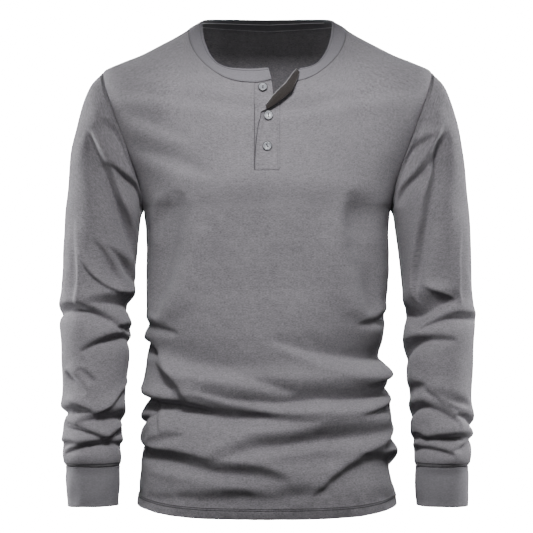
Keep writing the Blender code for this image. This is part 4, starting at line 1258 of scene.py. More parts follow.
def new_group(name: str) -> tuple[GeometryNodeTree, Sequence[NodeSocket], Node]:
    """Return an empty group, the sockets it is given and its output node."""
    group = bpy.data.node_groups.new(name, "GeometryNodeTree")
    for label, way, kind in (("Lines", "INPUT", "Geometry"),
                             ("Stitch pitch", "INPUT", "Float"),
                             ("Thread radius", "INPUT", "Float"),
                             ("Thread", "INPUT", "Material"),
                             ("Stitches", "OUTPUT", "Geometry")):
        group.interface.new_socket(label, in_out=way, socket_type="NodeSocket" + kind)
    given = group.nodes.new("NodeGroupInput").outputs
    return group, given, group.nodes.new("NodeGroupOutput")


@cache
def spaced_stitches() -> GeometryNodeTree:
    """Return the group that lays one short thread at each stitch."""
    group, given, result = new_group("stitches_along_line")
    curve = new_node(group, "GeometryNodeMeshToCurve", {"Mesh": given["Lines"]})
    even = new_node(group, "GeometryNodeResampleCurve",
                    {"Curve": curve, "Length": given["Stitch pitch"]}, mode="LENGTH")
    tangent = new_node(group, "GeometryNodeInputTangent")
    turn = new_node(group, "FunctionNodeAlignEulerToVector", {"Vector": tangent}, axis="Z")
    bead = new_node(group, "GeometryNodeMeshUVSphere", {"Segments": 6, "Rings": 4, "Radius": 1.0})
    reach = new_node(group, "ShaderNodeMath", {0: given["Stitch pitch"], 1: STITCH_FILL},
                     operation="MULTIPLY")
    shape = new_node(group, "ShaderNodeCombineXYZ",
                     {"X": given["Thread radius"], "Y": given["Thread radius"], "Z": reach})
    chance = new_node(group, "FunctionNodeRandomValue",
                      {"Min": LEAST_STITCH, "Max": MOST_STITCH, "Seed": 7},
                      data_type="FLOAT_VECTOR")
    size = new_node(group, "ShaderNodeVectorMath", {0: shape, 1: chance}, operation="MULTIPLY")
    spots = new_node(group, "GeometryNodeInstanceOnPoints",
                     {"Points": even, "Instance": bead, "Rotation": turn, "Scale": size})
    real = new_node(group, "GeometryNodeRealizeInstances", {"Geometry": spots})
    smooth = new_node(group, "GeometryNodeSetShadeSmooth", {"Geometry": real})
    paint = new_node(group, "GeometryNodeSetMaterial",
                     {"Geometry": smooth, "Material": given["Thread"]})
    set_inputs(result, {"Stitches": paint})
    return group


@cache
def running_thread() -> GeometryNodeTree:
    """Return the group that lays one thread all along each line."""
    group, given, result = new_group("thread_along_line")
    curve = new_node(group, "GeometryNodeMeshToCurve", {"Mesh": given["Lines"]})
    ring = new_node(group, "GeometryNodeCurvePrimitiveCircle",
                    {"Resolution": 5, "Radius": given["Thread radius"]})
    tube = new_node(group, "GeometryNodeCurveToMesh",
                    {"Curve": curve, "Fill Caps": True, "Profile Curve": ring})
    real = new_node(group, "GeometryNodeRealizeInstances", {"Geometry": tube})
    paint = new_node(group, "GeometryNodeSetMaterial",
                     {"Geometry": real, "Material": given["Thread"]})
    set_inputs(result, {"Stitches": paint})
    return group


def sew(name: str, node: str, thread: Finish, lines: list[np.ndarray],
        radius: float = 0.0003, pitch: float = 0.0) -> None:
    """Sew along lines and keep the stitches as one plain mesh.

    Args:
        name: the piece's name.
        node: the CAD node it belongs to.
        thread: what it is made of.
        lines: points along each stretch.
        radius: the thread's radius.
        pitch: the length of one stitch with its gap, or 0 for a thread that runs on.
    """
    points, edges, start = [], [], 0
    for line in lines:
        numbers = start + np.arange(len(line))
        points.extend(map(tuple, line))
        edges.extend(zip(numbers[:-1].tolist(), numbers[1:].tolist()))
        start += len(line)
    mesh = bpy.data.meshes.new(name + "_lines")
    mesh.from_pydata(points, edges, [])
    guide = new_object(name + "_lines", mesh)
    modifier = guide.modifiers.new("sewing", "NODES")
    modifier.node_group = spaced_stitches() if pitch else running_thread()
    sockets = {item.name: item.identifier for item in modifier.node_group.interface.items_tree}
    modifier[sockets["Stitch pitch"]] = pitch
    modifier[sockets["Thread radius"]] = radius
    modifier[sockets["Thread"]] = made_of(thread)
    made = evaluated_mesh(guide)
    made.name = name
    thing = new_object(name, made)
    bpy.data.objects.remove(guide)
    bpy.data.meshes.remove(mesh)
    dress(thing, node, thread)


# -------- the shirt's pieces
@dataclass(frozen=True)
class TorsoPieces:
    """The front and back panels with their sewn edges."""

    HEM_LINE_LIFT = 0.0006
    # Each panel's flat size and area
    CUTS = {Panel.FRONT: ((0.56, 0.70), 0.335), Panel.BACK: ((0.54, 0.72), 0.345)}

    panels: TorsoPanels

    @staticmethod
    def opening_side(height: np.ndarray) -> np.ndarray:
        """Return x of the opening's left-hand edge, as the wearer sees it, at a height."""
        rolled = [row for row in OVER_ROWS if row.sewn_z > -112]
        stops = np.array([SLOT_BOTTOM, -0.125] + [row.sewn_z * MM for row in rolled])
        sides = np.array([SLOT_RIGHT, SLOT_RIGHT] + [row.sewn_x * MM + 0.0004 for row in rolled])
        return np.interp(height, stops, sides)

    def opened_grid(self, flat: np.ndarray) -> tuple[np.ndarray, np.ndarray]:
        """Return the front's x, z moved so that grid lines run along the opening.

        Args:
            flat: the front's x and z.

        Returns:
            The moved x and z, and which cells lie in the opening.
        """
        rows, columns = flat.shape[:2]
        numbers = np.arange(columns)
        middle = columns // 2
        near = int(np.argmin(np.abs(flat[:, middle, 1] - SLOT_BOTTOM)))
        left = int(np.argmin(np.abs(flat[near, :, 0] - SLOT_LEFT)))
        right = int(np.argmin(np.abs(flat[near, :, 0] - SLOT_RIGHT)))
        moved = flat.copy()
        for row in range(rows):
            x, z = flat[row, :, 0], flat[row, :, 1]
            at_left = np.interp(SLOT_LEFT, x, numbers)
            off = x - self.opening_side(z)
            at_right = np.interp(0.0, off[middle:], numbers[middle:])
            # Rows below the opening ease back to their own places
            ease = math.exp(-(max(near - row, 0) / 14) ** 2)
            at_left = left + ease * (at_left - left)
            at_right = right + ease * (at_right - right)
            wanted = np.interp(numbers, [0, left, right, columns - 1],
                               [0, at_left, at_right, columns - 1])
            moved[row] = points_at(wanted, numbers, flat[row])
        rise = SLOT_BOTTOM - moved[near, :, 1]
        across = np.exp(-(np.maximum(np.abs(moved[..., 0]) - 0.03, 0) / 0.05) ** 2)
        upward = np.exp(-((np.arange(rows) - near) / 7.0) ** 2)[:, None]
        moved[..., 1] += rise[None, :] * upward * across
        gap = np.zeros((rows - 1, columns - 1), dtype=bool)
        gap[near:, left:right] = True
        return moved, gap

    def surface(self, panel: Panel) -> tuple[np.ndarray, Optional[np.ndarray]]:
        """Return a panel's folded points and which cells are open."""
        form, low = self.panels.form, self.panels.LOW_ROWS + 1
        flat = self.panels.flat_grid(panel)
        gap = None
        if panel is Panel.FRONT:
            flat, gap = self.opened_grid(flat)
        depth = form.y_at(flat[..., 0], flat[..., 1], panel)
        depth[:low, [0, -1]] = 0
        steps = self.panels.SHOULDER_STEPS + 1
        ridge = form.value("ridge_y", flat[-1, :steps, 1])
        depth[-1, :steps] = ridge
        depth[-1, -steps:] = ridge[::-1]
        points = form.fold_point(np.stack([flat[..., 0], depth, flat[..., 1]], -1), panel)
        # The hem is doubled: the cloth below its stitching stands out a little
        above = points[..., 2] - points[:1, :, 2]
        band = self.HEM_LINE_LIFT * (soft_step((HEM_DEPTH - above) / 0.004) - 0.5)
        near_hem = soft_step((0.045 - above) / 0.02)
        wave = 0.0007 * ripple(points[..., 0], above, 0.03, 51) * near_hem
        stand = (band * near_hem + wave)[..., None]
        return points + form.outward(points, panel) * stand, gap

    def build(self) -> dict[Panel, np.ndarray]:
        """Make both panels and return their surfaces."""
        surfaces = {}
        for panel in Panel:
            points, gap = self.surface(panel)
            surfaces[panel] = points
            sheet = Sheet.from_grid(points, flipped=panel is Panel.BACK, gap=gap)
            on_hem = sheet.marked(1, points.shape[1] - 1)
            sheet = sheet.with_edge(on_hem, HEM_EDGE)
            # All but the hem and its turning is sewn
            sewn = sheet.marked(0, len(on_hem))
            sewn[:len(on_hem)] &= ~on_hem
            thing = sheet.with_edge(sewn, SEAM_EDGE).shell(panel.value + "_panel", JERSEY_WALL)
            dress(thing, panel.value, COTTON_JERSEY)
            LOG.info("%s: %d faces", thing.name, len(thing.data.polygons))
        return surfaces


@dataclass(frozen=True)
class SleevePieces:
    """A sleeve and its cuff."""

    CUFF_RINGS = 26
    CUFF_WALL = 0.0016
    CUFF_TILT = 0.0012
    CUFF_SWING = 0.003
    CUFF_EDGE = (
        EdgeRow(0.0012, 0.0001, 20),
        EdgeRow(0.0003, 0.0008, 55),
        EdgeRow(0.0000, 0.0018, 90),
        EdgeRow(0.0004, 0.0030, 130),
        EdgeRow(0.0016, 0.0037, 170),
        EdgeRow(0.0090, 0.0038, 180),
    )

    sleeve: SleeveForm

    def build(self) -> tuple[np.ndarray, np.ndarray]:
        """Make the sleeve and the cuff and return both surfaces."""
        side = self.sleeve.side
        flipped = side is Side.LEFT
        points = self.sleeve.points()
        sheet = Sheet.from_grid(points, flipped=flipped, closed=True)
        sheet = sheet.with_edge(sheet.marked(0, len(sheet.points)), SEAM_EDGE)
        thing = sheet.shell("sleeve_" + side.word + "_cloth", JERSEY_WALL)
        dress(thing, "sleeve_" + side.word, COTTON_JERSEY)
        LOG.info("%s: %d faces", thing.name, len(thing.data.polygons))
        cuff = self.cuff_surface(points[-1])
        sheet = Sheet.from_grid(cuff, flipped=flipped, closed=True)
        around, count = cuff.shape[1], len(sheet.points)
        sheet = sheet.with_edge(sheet.marked(count - around, count), self.CUFF_EDGE)
        sheet = sheet.with_edge(sheet.marked(0, around), SEAM_EDGE)
        thing = sheet.shell("cuff_" + side.word + "_cloth", self.CUFF_WALL)
        dress(thing, "cuff_" + side.word, CUFF_RIB)
        return points, cuff

    def cuff_surface(self, wrist: np.ndarray) -> np.ndarray:
        """Return the cuff's rings of points from its seam down."""
        side = self.sleeve.side
        low, high = box_of("cuff_" + side.word)
        middle_x, middle_y, _ = (low + high) / 2
        # The face lies inside the CAD box by what its waves and its swing stand out
        half_wide = (high[0] - low[0]) / 2 - 0.0006
        half_deep = (high[1] - low[1]) / 2 - 0.0018
        top, bottom = high[2], low[2] + 0.0004
        angles = round_ring(len(wrist))
        sign = side.value
        rows = []
        for step in range(self.CUFF_RINGS + 1):
            part = step / self.CUFF_RINGS
            hug = 1 - 0.022 * soft_step(part * 1.3)
            belly = 0.0011 * math.sin(math.pi * min(part * 1.15, 1.0))
            wave = 0.0008 * ripple(angles * half_wide, np.full_like(angles, part * 0.05),
                                   0.05, 61 + sign) * (0.3 + part)
            reach = 1 + (belly + wave) / half_deep
            x = middle_x - sign * half_wide * hug * reach * np.cos(angles)
            swing = self.CUFF_SWING * (0.5 - part)
            y = middle_y + swing - half_deep * hug * reach * np.sin(angles)
            z = top + part * (bottom - top) + self.CUFF_TILT * np.sin(angles + 0.6) * part
            ring = np.stack([x, y, z], axis=-1)
            meet = 1 - soft_step(part * 4.5)
            ring[:, :2] = wrist[:, :2] * meet + ring[:, :2] * (1 - meet)
            ring[:, 2] += (wrist[:, 2] - top - 0.0003) * meet
            rows.append(ring)
        return np.array(rows)


@dataclass(frozen=True)
class NeckPieces:
    """The neckband and both sides of the placket."""

    BAND_ROWS = 40
    FRONT_STEPS = 56
    BACK_STEPS = 36
    BAND_WALL = 0.0021
    FACING_WALL = 0.0005
    UNDER_GRID = (60, 16)
    OVER_GRID = (118, 34)
    FACING_STEPS = 14

    form: TorsoForm

    def laid(self, x: np.ndarray, z: np.ndarray, lift: np.ndarray) -> np.ndarray:
        """Return points on the folded chest, so far out from it."""
        base = np.stack([x, self.form.y_at(x, z, Panel.FRONT), z], axis=-1)
        moved = self.form.fold_point(base, Panel.FRONT)
        return moved + self.form.outward(base, Panel.FRONT) * np.asarray(lift)[..., None]

    def half_loop(self, panel: Panel) -> np.ndarray:
        """Return half the neck: the folded seam's x, y, z and the top edge's x, y, z."""
        steps = self.FRONT_STEPS if panel is Panel.FRONT else self.BACK_STEPS
        line = self.form.half_neck(panel, steps)
        seam = self.form.fold_point(line[:, :3], panel)
        return np.column_stack([seam, line[:, 3:]])

    def band_surface(self) -> np.ndarray:
        """Return the neckband's rows of points, from its seam up."""
        mirror = np.array([-1, 1, 1, -1, 1, 1])
        front, back = self.half_loop(Panel.FRONT), self.half_loop(Panel.BACK)
        right = np.concatenate([front, back[::-1][1:]]) * mirror
        left = np.concatenate([front, back[::-1][1:]])[::-1][1:]
        loop = np.concatenate([right, left])
        marks = np.arange(len(loop), dtype=float)
        steps = self.FRONT_STEPS
        first = loop[:steps + 1]
        last = loop[-steps - 1:]
        rows = []
        for step in range(self.BAND_ROWS + 1):
            part = step / self.BAND_ROWS
            under = between(BAND_END_UNDER_X, part) * MM
            over = between(BAND_END_OVER_X, part) * MM
            x_first = between((first[:, 0], first[:, 3]), part)
            x_last = between((last[:, 0], last[:, 3]), part)
            # The under end runs on past the middle of the front
            beyond = np.interp(under, -x_first, np.arange(steps + 1))
            start = -beyond
            end = len(loop) - 1 - np.interp(over, x_last[::-1], np.arange(steps + 1))
            wanted = np.linspace(start, end, len(loop))
            mirrored = np.concatenate([(loop[1:steps + 1] * mirror)[::-1], loop])
            places = np.concatenate([-marks[1:steps + 1][::-1], marks])
            ring = points_at(wanted, places, mirrored)
            seam, top = ring[:, :3], ring[:, 3:]
            bow = unit(seam * np.array([1, 1, 0]))
            groove = 0.0007 * math.exp(-((part - 0.85) / 0.04) ** 2)
            belly = 0.0011 * 4 * part * (1 - part) + 0.0004 - groove
            row = between((seam, top), part) + bow * belly
            rise = between(BAND_END_RISE, part) * MM
            from_start = np.linalg.norm(row - row[0], axis=1)
            row[:, 2] += rise * np.exp(-(from_start / 0.011) ** 2)
            wave = 0.0005 * ripple(np.arange(len(row)) * 0.0028, np.full(len(row), part * 0.02),
                                   0.06, 71)
            row = row + bow * wave[:, None] * part
            rows.append(row)
        return np.array(rows)

    def under_surface(self) -> np.ndarray:
        """Return the button stand's rows of points, from its foot up."""
        stops = column(UNDER_ROWS, "height")
        count, across = self.UNDER_GRID
        heights = np.linspace(stops[0], stops[-1], count)
        rights = smooth_value(heights, stops, column(UNDER_ROWS, "right"))
        rows = []
        for height, right in zip(heights, rights):
            x = np.linspace(SLOT_LEFT + 0.0005, right * MM, across)
            slope = soft_step((height + 92) / 12) * 0.0022
            z = height * MM + np.linspace(-slope, slope, across)
            flush = soft_step((z + 0.104) / 0.018)
            drop = UNDER_DROP * (1 - flush)
            rows.append(self.laid(x, z, -drop))
        return np.array(rows)

    def over_surface(self) -> np.ndarray:
        """Return the buttonhole side's rows of points, from its foot up."""
        marks = np.arange(len(OVER_ROWS), dtype=float)
        count, across = self.OVER_GRID
        fine = np.linspace(0, marks[-1], count)
        even = np.stack([smooth_value(fine, marks, values)
                         for values in table(OVER_ROWS).values()], -1)
        rows = []
        for sewn_x, sewn_z, roll_x, roll_z, roll_lift, edge_x, edge_z, edge_lift in even:
            sewn = np.array([sewn_x, sewn_z, 0.0])
            roll = np.array([roll_x, roll_z, roll_lift])
            edge = np.array([edge_x, edge_z, edge_lift])
            turned = soft_step((edge_x - roll_x + 1.0) / 2.0)
            turn = roll + (edge - roll) * 0.12 + np.array([0, 0, 1.1 * turned])
            belly = (roll + edge) / 2 + np.array([0, 0, 1.6 * turned])
            path = np.array([sewn, (sewn + roll) / 2, roll, turn, belly, edge])
            line = spread_along(path, across) * MM
            rows.append(self.laid(line[:, 0], line[:, 1], line[:, 2] + OVER_LIFT))
        return np.array(rows)

    def facing_surface(self, over: np.ndarray) -> np.ndarray:
        """Return the rows of a dark sheet of painted shade where the buttonhole side turns back."""
        reverse = over - grid_outward(over, True) * (PLACKET_WALL + 0.0006)
        columns = np.arange(over.shape[1])
        rows = []
        for row, face in zip(over, reverse):
            roll = int(np.argmin(row[:, 0]))
            if row[-1, 0] - row[roll, 0] < 0.0002:
                continue
            start = min(roll + 2.6, columns[-1] - 0.8)
            line = points_at(np.linspace(start, columns[-1], self.FACING_STEPS), columns, face)
            # It wraps the cut edge, so the edge gets the painted shade too
            beyond = unit(row[-1] - row[-2]) * 0.0008
            rows.append(np.vstack([line, (row[-1] + face[-1]) / 2 + beyond, row[-1] + beyond]))
        return np.array(rows)

    def build(self) -> tuple[np.ndarray, ...]:
        """Make the neckband, both placket sides and the sheet of painted shade on the turned reverse,
        and return their surfaces.
        """
        band = self.band_surface()
        sheet = Sheet.from_grid(band, flipped=True)
        sheet = sheet.with_edge(sheet.marked(1, band.shape[1] - 1), NECK_EDGE)
        thing = sheet.shell("neckband_cloth", self.BAND_WALL)
        dress(thing, "neckband", BAND_JERSEY)
        under = self.under_surface()
        thing = Sheet.from_grid(under).shell("placket_under_cloth", PLACKET_WALL)
        dress(thing, "placket_under", COTTON_JERSEY)
        over = self.over_surface()
        thing = Sheet.from_grid(over, flipped=True).shell("placket_over_cloth", PLACKET_WALL)
        dress(thing, "placket_over", COTTON_JERSEY)
        # A dark sheet of painted shade lies on the reverse where the buttonhole side turns back
        facing = self.facing_surface(over)
        thing = Sheet.from_grid(facing).shell("placket_facing_cloth", self.FACING_WALL)
        dress(thing, "placket_over", PAINTED_SHADE_JERSEY)
        return band, under, over, facing


@dataclass(frozen=True)
class ButtonPiece:
    """One two-hole resin button sewn to the placket.

    Attributes:
        node: the CAD node it stands for.
        roll: the turn of the line through its holes, in degrees.
    """

    SIDES = 48
    HOLE_RADIUS = 0.0012
    HOLE_OFFSET = 0.0018
    # Radius and height of each turned ring, from the middle of the back to that of the face
    PROFILE = (
        (0.0, -0.0010), (0.0040, -0.0011), (0.0056, -0.0008), (0.0060, -0.0002),
        (0.0060, 0.0004), (0.00575, 0.00095), (0.0052, 0.0012), (0.0047, 0.0011),
        (0.0042, 0.00065), (0.0034, 0.0004), (0.0020, 0.00035), (0.0, 0.00035),
    )
    # A dark ring of painted contact shadow round the button
    BEVEL_RADIUS = 0.0062
    BEVEL_HEIGHT = 0.0009
    BEVEL_THICKNESS = 0.0006
    STRANDS = (-0.00028, 0.0, 0.00028)
    STRAND_RADIUS = 0.0002
    STRAND_HEIGHT = 0.00062
    STRAND_SINK = 0.0009
    STRAND_REACH = HOLE_OFFSET - 0.0010
    # Dark plugs of painted shade lying in the holes
    KNOT_RADIUS = 0.0009
    KNOT_REACH = 0.0010
    KNOT_HEIGHT = -0.0003

    node: str
    roll: float

    def placed(self, form: TorsoForm) -> Matrix:
        """Return the matrix that lays the button on the chest."""
        low, high = box_of(self.node)
        centre = (low + high) / 2
        x, z = centre[0], centre[2]
        reach = 0.005
        above, below = form.y_at(np.array([x, x]), np.array([z + reach, z - reach]), Panel.FRONT)
        out = Vector((0.0, -1.0, (above - below) / (2 * reach))).normalized()
        side = Vector((0, 0, 1)).cross(out).normalized()
        up = out.cross(side)
        turned = Matrix((side, up, out)).transposed() @ Matrix.Rotation(math.radians(self.roll), 3, "Z")
        return Matrix.Translation(Vector(centre)) @ turned.to_4x4()

    def lathe(self) -> Object:
        """Return the turned disc before its holes are drilled."""
        bm = bmesh.new()
        rings = []
        for radius, height in self.PROFILE:
            if radius == 0:
                rings.append([bm.verts.new((0, 0, height))])
                continue
            rings.append([
                bm.verts.new((radius * math.cos(angle), radius * math.sin(angle), height))
                for angle in round_ring(self.SIDES)])
        for near, far in zip(rings, rings[1:]):
            for i in range(self.SIDES):
                j = (i + 1) % self.SIDES
                if len(near) == 1:
                    bm.faces.new((near[0], far[j], far[i]))
                elif len(far) == 1:
                    bm.faces.new((near[i], near[j], far[0]))
                else:
                    bm.faces.new((near[i], near[j], far[j], far[i]))
        bmesh.ops.recalc_face_normals(bm, faces=bm.faces)
        mesh = bpy.data.meshes.new(self.node + "_resin")
        bm.to_mesh(mesh)
        bm.free()
        return new_object(self.node + "_resin", mesh)

    def drill(self, thing: Object) -> None:
        """Cut both thread holes out of the disc."""
        for side in (-1, 1):
            bm = bmesh.new()
            bmesh.ops.create_cone(bm, cap_ends=True, segments=16, radius1=self.HOLE_RADIUS,
                                  radius2=self.HOLE_RADIUS, depth=0.008)
            bmesh.ops.translate(bm, verts=bm.verts, vec=(side * self.HOLE_OFFSET, 0, 0))
            mesh = bpy.data.meshes.new("hole")
            bm.to_mesh(mesh)
            bm.free()
            cutter = new_object("hole", mesh)
            cut = thing.modifiers.new("hole", "BOOLEAN")
            cut.operation = "DIFFERENCE"
            cut.solver = "EXACT"
            cut.object = cutter
            made = evaluated_mesh(thing)
            thing.modifiers.clear()
            thing.data = made
            bpy.data.objects.remove(cutter)
        thing.data.name = thing.name

    def build(self, form: TorsoForm) -> None:
        """Make the button, a dark ring of painted contact shadow round it, the thread through its holes
        and dark plugs of painted shade in them.
        """
        thing = self.lathe()
        self.drill(thing)
        place = self.placed(form)
        thing.data.transform(place)
        thing.data.shade_smooth()
        thing.data.set_sharp_from_angle(angle=math.radians(40))
        dress(thing, self.node, BUTTON_RESIN)

        def line(points: Iterable[Sequence[float]]) -> np.ndarray:
            """Return a line given in the button's own axes, where the button lies."""
            return np.array([place @ Vector(point) for point in points])

        strands = [line((along * self.STRAND_REACH, strand,
                         self.STRAND_HEIGHT - self.STRAND_SINK * abs(along) ** 6)
                        for along in np.linspace(-1, 1, 13)) for strand in self.STRANDS]
        sew(self.node + "_thread", self.node, DARK_THREAD_AND_PAINTED_SHADOW, strands, self.STRAND_RADIUS)
        # Painted contact shadow: a dark ring round the button's edge
        around = np.linspace(0, 2 * math.pi, self.SIDES + 1)
        shadow_ring = line((self.BEVEL_RADIUS * math.cos(angle), self.BEVEL_RADIUS * math.sin(angle),
                      self.BEVEL_HEIGHT) for angle in around)
        sew(self.node + "_bevel", self.node, SHADOW_RING_PAINT, [shadow_ring], self.BEVEL_THICKNESS)
        # Painted shade: dark plugs darken the holes
        hole_shades = [line((side * self.HOLE_OFFSET, reach * self.KNOT_REACH, self.KNOT_HEIGHT)
                      for reach in (-1, 0, 1)) for side in (-1, 1)]
        sew(self.node + "_knots", self.node, DARK_THREAD_AND_PAINTED_SHADOW, hole_shades, self.KNOT_RADIUS)


# -------- sewing lines
def smoothed(line: np.ndarray) -> np.ndarray:
    """Return a line with three steps for each of its own."""
    last = len(line) - 1
    return points_at(np.linspace(0, last, last * 3 + 1), np.arange(last + 1), line)


def zigzag(near: np.ndarray, far: np.ndarray, pitch: float) -> np.ndarray:
    """Return a thread that runs to and fro between two lines."""
    marks = run_lengths(near)
    places = np.arange(0, marks[-1], pitch / 2)
    along = np.arange(len(near))
    index = np.interp(places, marks, along)
    first, second = points_at(index, along, near), points_at(index, along, far)
    share = (np.arange(len(places)) % 2)[:, None]
    return first * (1 - share) + second * share


@dataclass(frozen=True)
class SewnFace:
    """A face of the cloth that lines are sewn on.

    Attributes:
        rows: rows of points.
        outward: the direction out of the cloth at each point.
        closed: whether the rows are rings.
    """

    rows: np.ndarray
    outward: np.ndarray
    closed: bool = False

    @classmethod
    def on(cls, rows: np.ndarray, flipped: bool, closed: bool = False) -> "SewnFace":
        """Return the face on a grid of points."""
        return cls(rows, grid_outward(rows, flipped, closed), closed)

    def turned(self) -> "SewnFace":
        """Return the face with its columns as its rows."""
        return SewnFace(self.rows.transpose(1, 0, 2), self.outward.transpose(1, 0, 2))

    def line(self, distance: float, lift: float = 0.0001, from_end: bool = False) -> np.ndarray:
        """Return the line at a distance from the first or last row.

        Args:
            distance: how far from the row, along the cloth.
            lift: how far the line lies off the cloth.
            from_end: whether to measure from the last row.
        """
        way = -1 if from_end else 1
        rows, out = self.rows[::way], self.outward[::way]
        line = []
        for number, mark in enumerate(run_lengths(rows).T):
            line.append(points_at(distance, mark, rows[:, number])
                        + points_at(distance, mark, out[:, number]) * lift)
        return smoothed(np.array(line + line[:1] if self.closed else line))


class Sewing:
    """Every line of stitches on the shirt, and the dark lines of painted shadow at seams and edges;
    distances are from the edge that each follows.
    """

    NEEDLE_PITCH = 0.0031
    FACING_PITCH = 0.0019
    RIM_OFFSET = (0.0003, 0.0005, 0.0)
    SUNK = 0.0003
    # Armhole: both needle lines, their lift and the cover thread between them
    ARMHOLE_LINES = (0.0015, 0.0052)
    ARMHOLE_LIFT = 0.00012
    ARMHOLE_ZIGZAG = 0.0021
    # Cuff: one line on each side of its seam
    CUFF_ABOVE = 0.0058
    CUFF_BELOW = 0.0012
    # Hem: both needle lines and the cover thread
    HEM_LINES = (HEM_DEPTH - 0.0050, HEM_DEPTH - 0.0022)
    HEM_ZIGZAG = 0.0024
    # Neckband: outside, with a dark line of painted shadow in its seam, then the cover stitch inside
    # the back
    BAND_TOP = 0.0030
    BAND_SEAM = 0.0022
    BAND_DITCH = 0.0002
    INSIDE_LINES = (0.0006, 0.0036)
    INSIDE_HIGH = 0.0085
    INSIDE_ZIGZAG = 0.0018
    INSIDE_PART = 0.2
    # Placket
    PLACKET_STITCH = {"radius": 0.00024, "pitch": 0.0026}
    UNDER_LINES = (0.0008, 0.0022)
    UNDER_EDGE = -0.0002
    UNDER_SHOWS = 0.75
    OVER_SEWN = 0.0018
    OVER_EDGE_LINES = (0.0018, 0.0052)
    OVER_FOOT_LINES = (0.0016, 0.0075)

    def sleeve(self, side: Side, points: np.ndarray, cuff: np.ndarray) -> None:
        """Sew the armhole and the cuff of one sleeve."""
        flipped = side is Side.LEFT
        node = "sleeve_" + side.word
        face = SewnFace.on(points, flipped, closed=True)
        needles = [face.line(distance, self.ARMHOLE_LIFT) for distance in self.ARMHOLE_LINES]
        sew(node + "_armhole_needle_threads", node, SEAM_THREAD, needles, pitch=self.NEEDLE_PITCH)
        sew(node + "_armhole_cover_thread", node, LOOPER_THREAD,
            [zigzag(*needles, self.ARMHOLE_ZIGZAG)], radius=0.00028)
        sew(node + "_cuff_threads", node, DARK_THREAD_AND_PAINTED_SHADOW,
            [face.line(self.CUFF_ABOVE, from_end=True)], radius=0.00055)
        node = "cuff_" + side.word
        sew(node + "_seam_threads", node, SEAM_THREAD,
            [SewnFace.on(cuff, flipped, closed=True).line(self.CUFF_BELOW)],
            pitch=self.NEEDLE_PITCH)

    def hem(self, panel: Panel, surface: np.ndarray) -> None:
        """Sew the hem of one panel: two needle lines and the cover thread between them."""
        node = panel.value
        face = SewnFace.on(surface, panel is Panel.BACK)
        needles = [face.line(distance) for distance in self.HEM_LINES]
        sew(node + "_hem_threads", node, DARK_THREAD_AND_PAINTED_SHADOW, needles, radius=0.0004)
        sew(node + "_hem_cover_thread", node, PLACKET_THREAD, [zigzag(*needles, self.HEM_ZIGZAG)])

    def neckband(self, band: np.ndarray) -> None:
        """Sew along the neckband: at its seam, inside its top edge and inside the back, and lay a line
        of painted shadow in the seam.
        """
        node = "neckband"
        face = SewnFace.on(band, True)
        sew("neckband_threads", node, PLACKET_THREAD, [face.line(self.BAND_SEAM)],
            pitch=self.NEEDLE_PITCH)
        sew("neckband_top_thread", node, SEAM_THREAD,
            [face.line(self.BAND_TOP, from_end=True)], radius=0.00036)
        # Painted shadow: a dark cord sunk in the band's seam
        sew("neckband_ditch_thread", node, DARK_THREAD_AND_PAINTED_SHADOW,
            [face.line(self.BAND_DITCH, lift=-self.SUNK)], radius=0.0004)
        from_middle = np.abs(np.arange(band.shape[1]) / band.shape[1] - 0.5)
        behind = SewnFace.on(band[:, from_middle < self.INSIDE_PART], True)
        lift = -NeckPieces.BAND_WALL - self.SUNK
        near, far = (behind.line(distance, lift) for distance in self.INSIDE_LINES)
        high = behind.line(self.INSIDE_HIGH, lift, from_end=True)
        sew("neckband_inside_threads", node, PALE_THREAD,
            [near, zigzag(near, far, self.INSIDE_ZIGZAG), high], radius=0.0005)

    def placket(self, under: np.ndarray, over: np.ndarray, facing: np.ndarray) -> None:
        """Sew both sides of the placket along their edges and along the turned roll, with dark lines of
        painted shadow at the edges.
        """
        # Stitches along the roll's crest, pale enough to carry a painted highlight there as well
        rim = smoothed(facing[:, 0]) - np.array(self.RIM_OFFSET)
        sew("placket_facing_threads", "placket_over", ROLL_THREAD_AND_HIGHLIGHT, [rim], radius=0.0006,
            pitch=self.FACING_PITCH)
        side = SewnFace.on(under, False).turned()
        attached, free = self.UNDER_LINES
        # Painted shadow: a dark cord along the seam beside the button stand
        edge = side.line(self.UNDER_EDGE, lift=self.SUNK)
        sew("placket_under_edge_thread", "placket_under", DARK_THREAD_AND_PAINTED_SHADOW,
            [edge[:int(len(edge) * self.UNDER_SHOWS)]])
        sew("placket_under_threads", "placket_under", PLACKET_THREAD,
            [side.line(attached), side.line(free, from_end=True)], **self.PLACKET_STITCH)
        face = SewnFace.on(over, True)
        side = face.turned()
        # Painted shadow: a dark cord along the buttonhole side's free edge
        sew("placket_over_edge_thread", "placket_over", DARK_THREAD_AND_PAINTED_SHADOW,
            [side.line(0.0, lift=0.0, from_end=True)], radius=0.0006)
        lines = [side.line(self.OVER_SEWN)]
        lines += [side.line(distance, from_end=True) for distance in self.OVER_EDGE_LINES]
        lines += [face.line(distance) for distance in self.OVER_FOOT_LINES]
        sew("placket_over_threads", "placket_over", PLACKET_THREAD, lines, **self.PLACKET_STITCH)


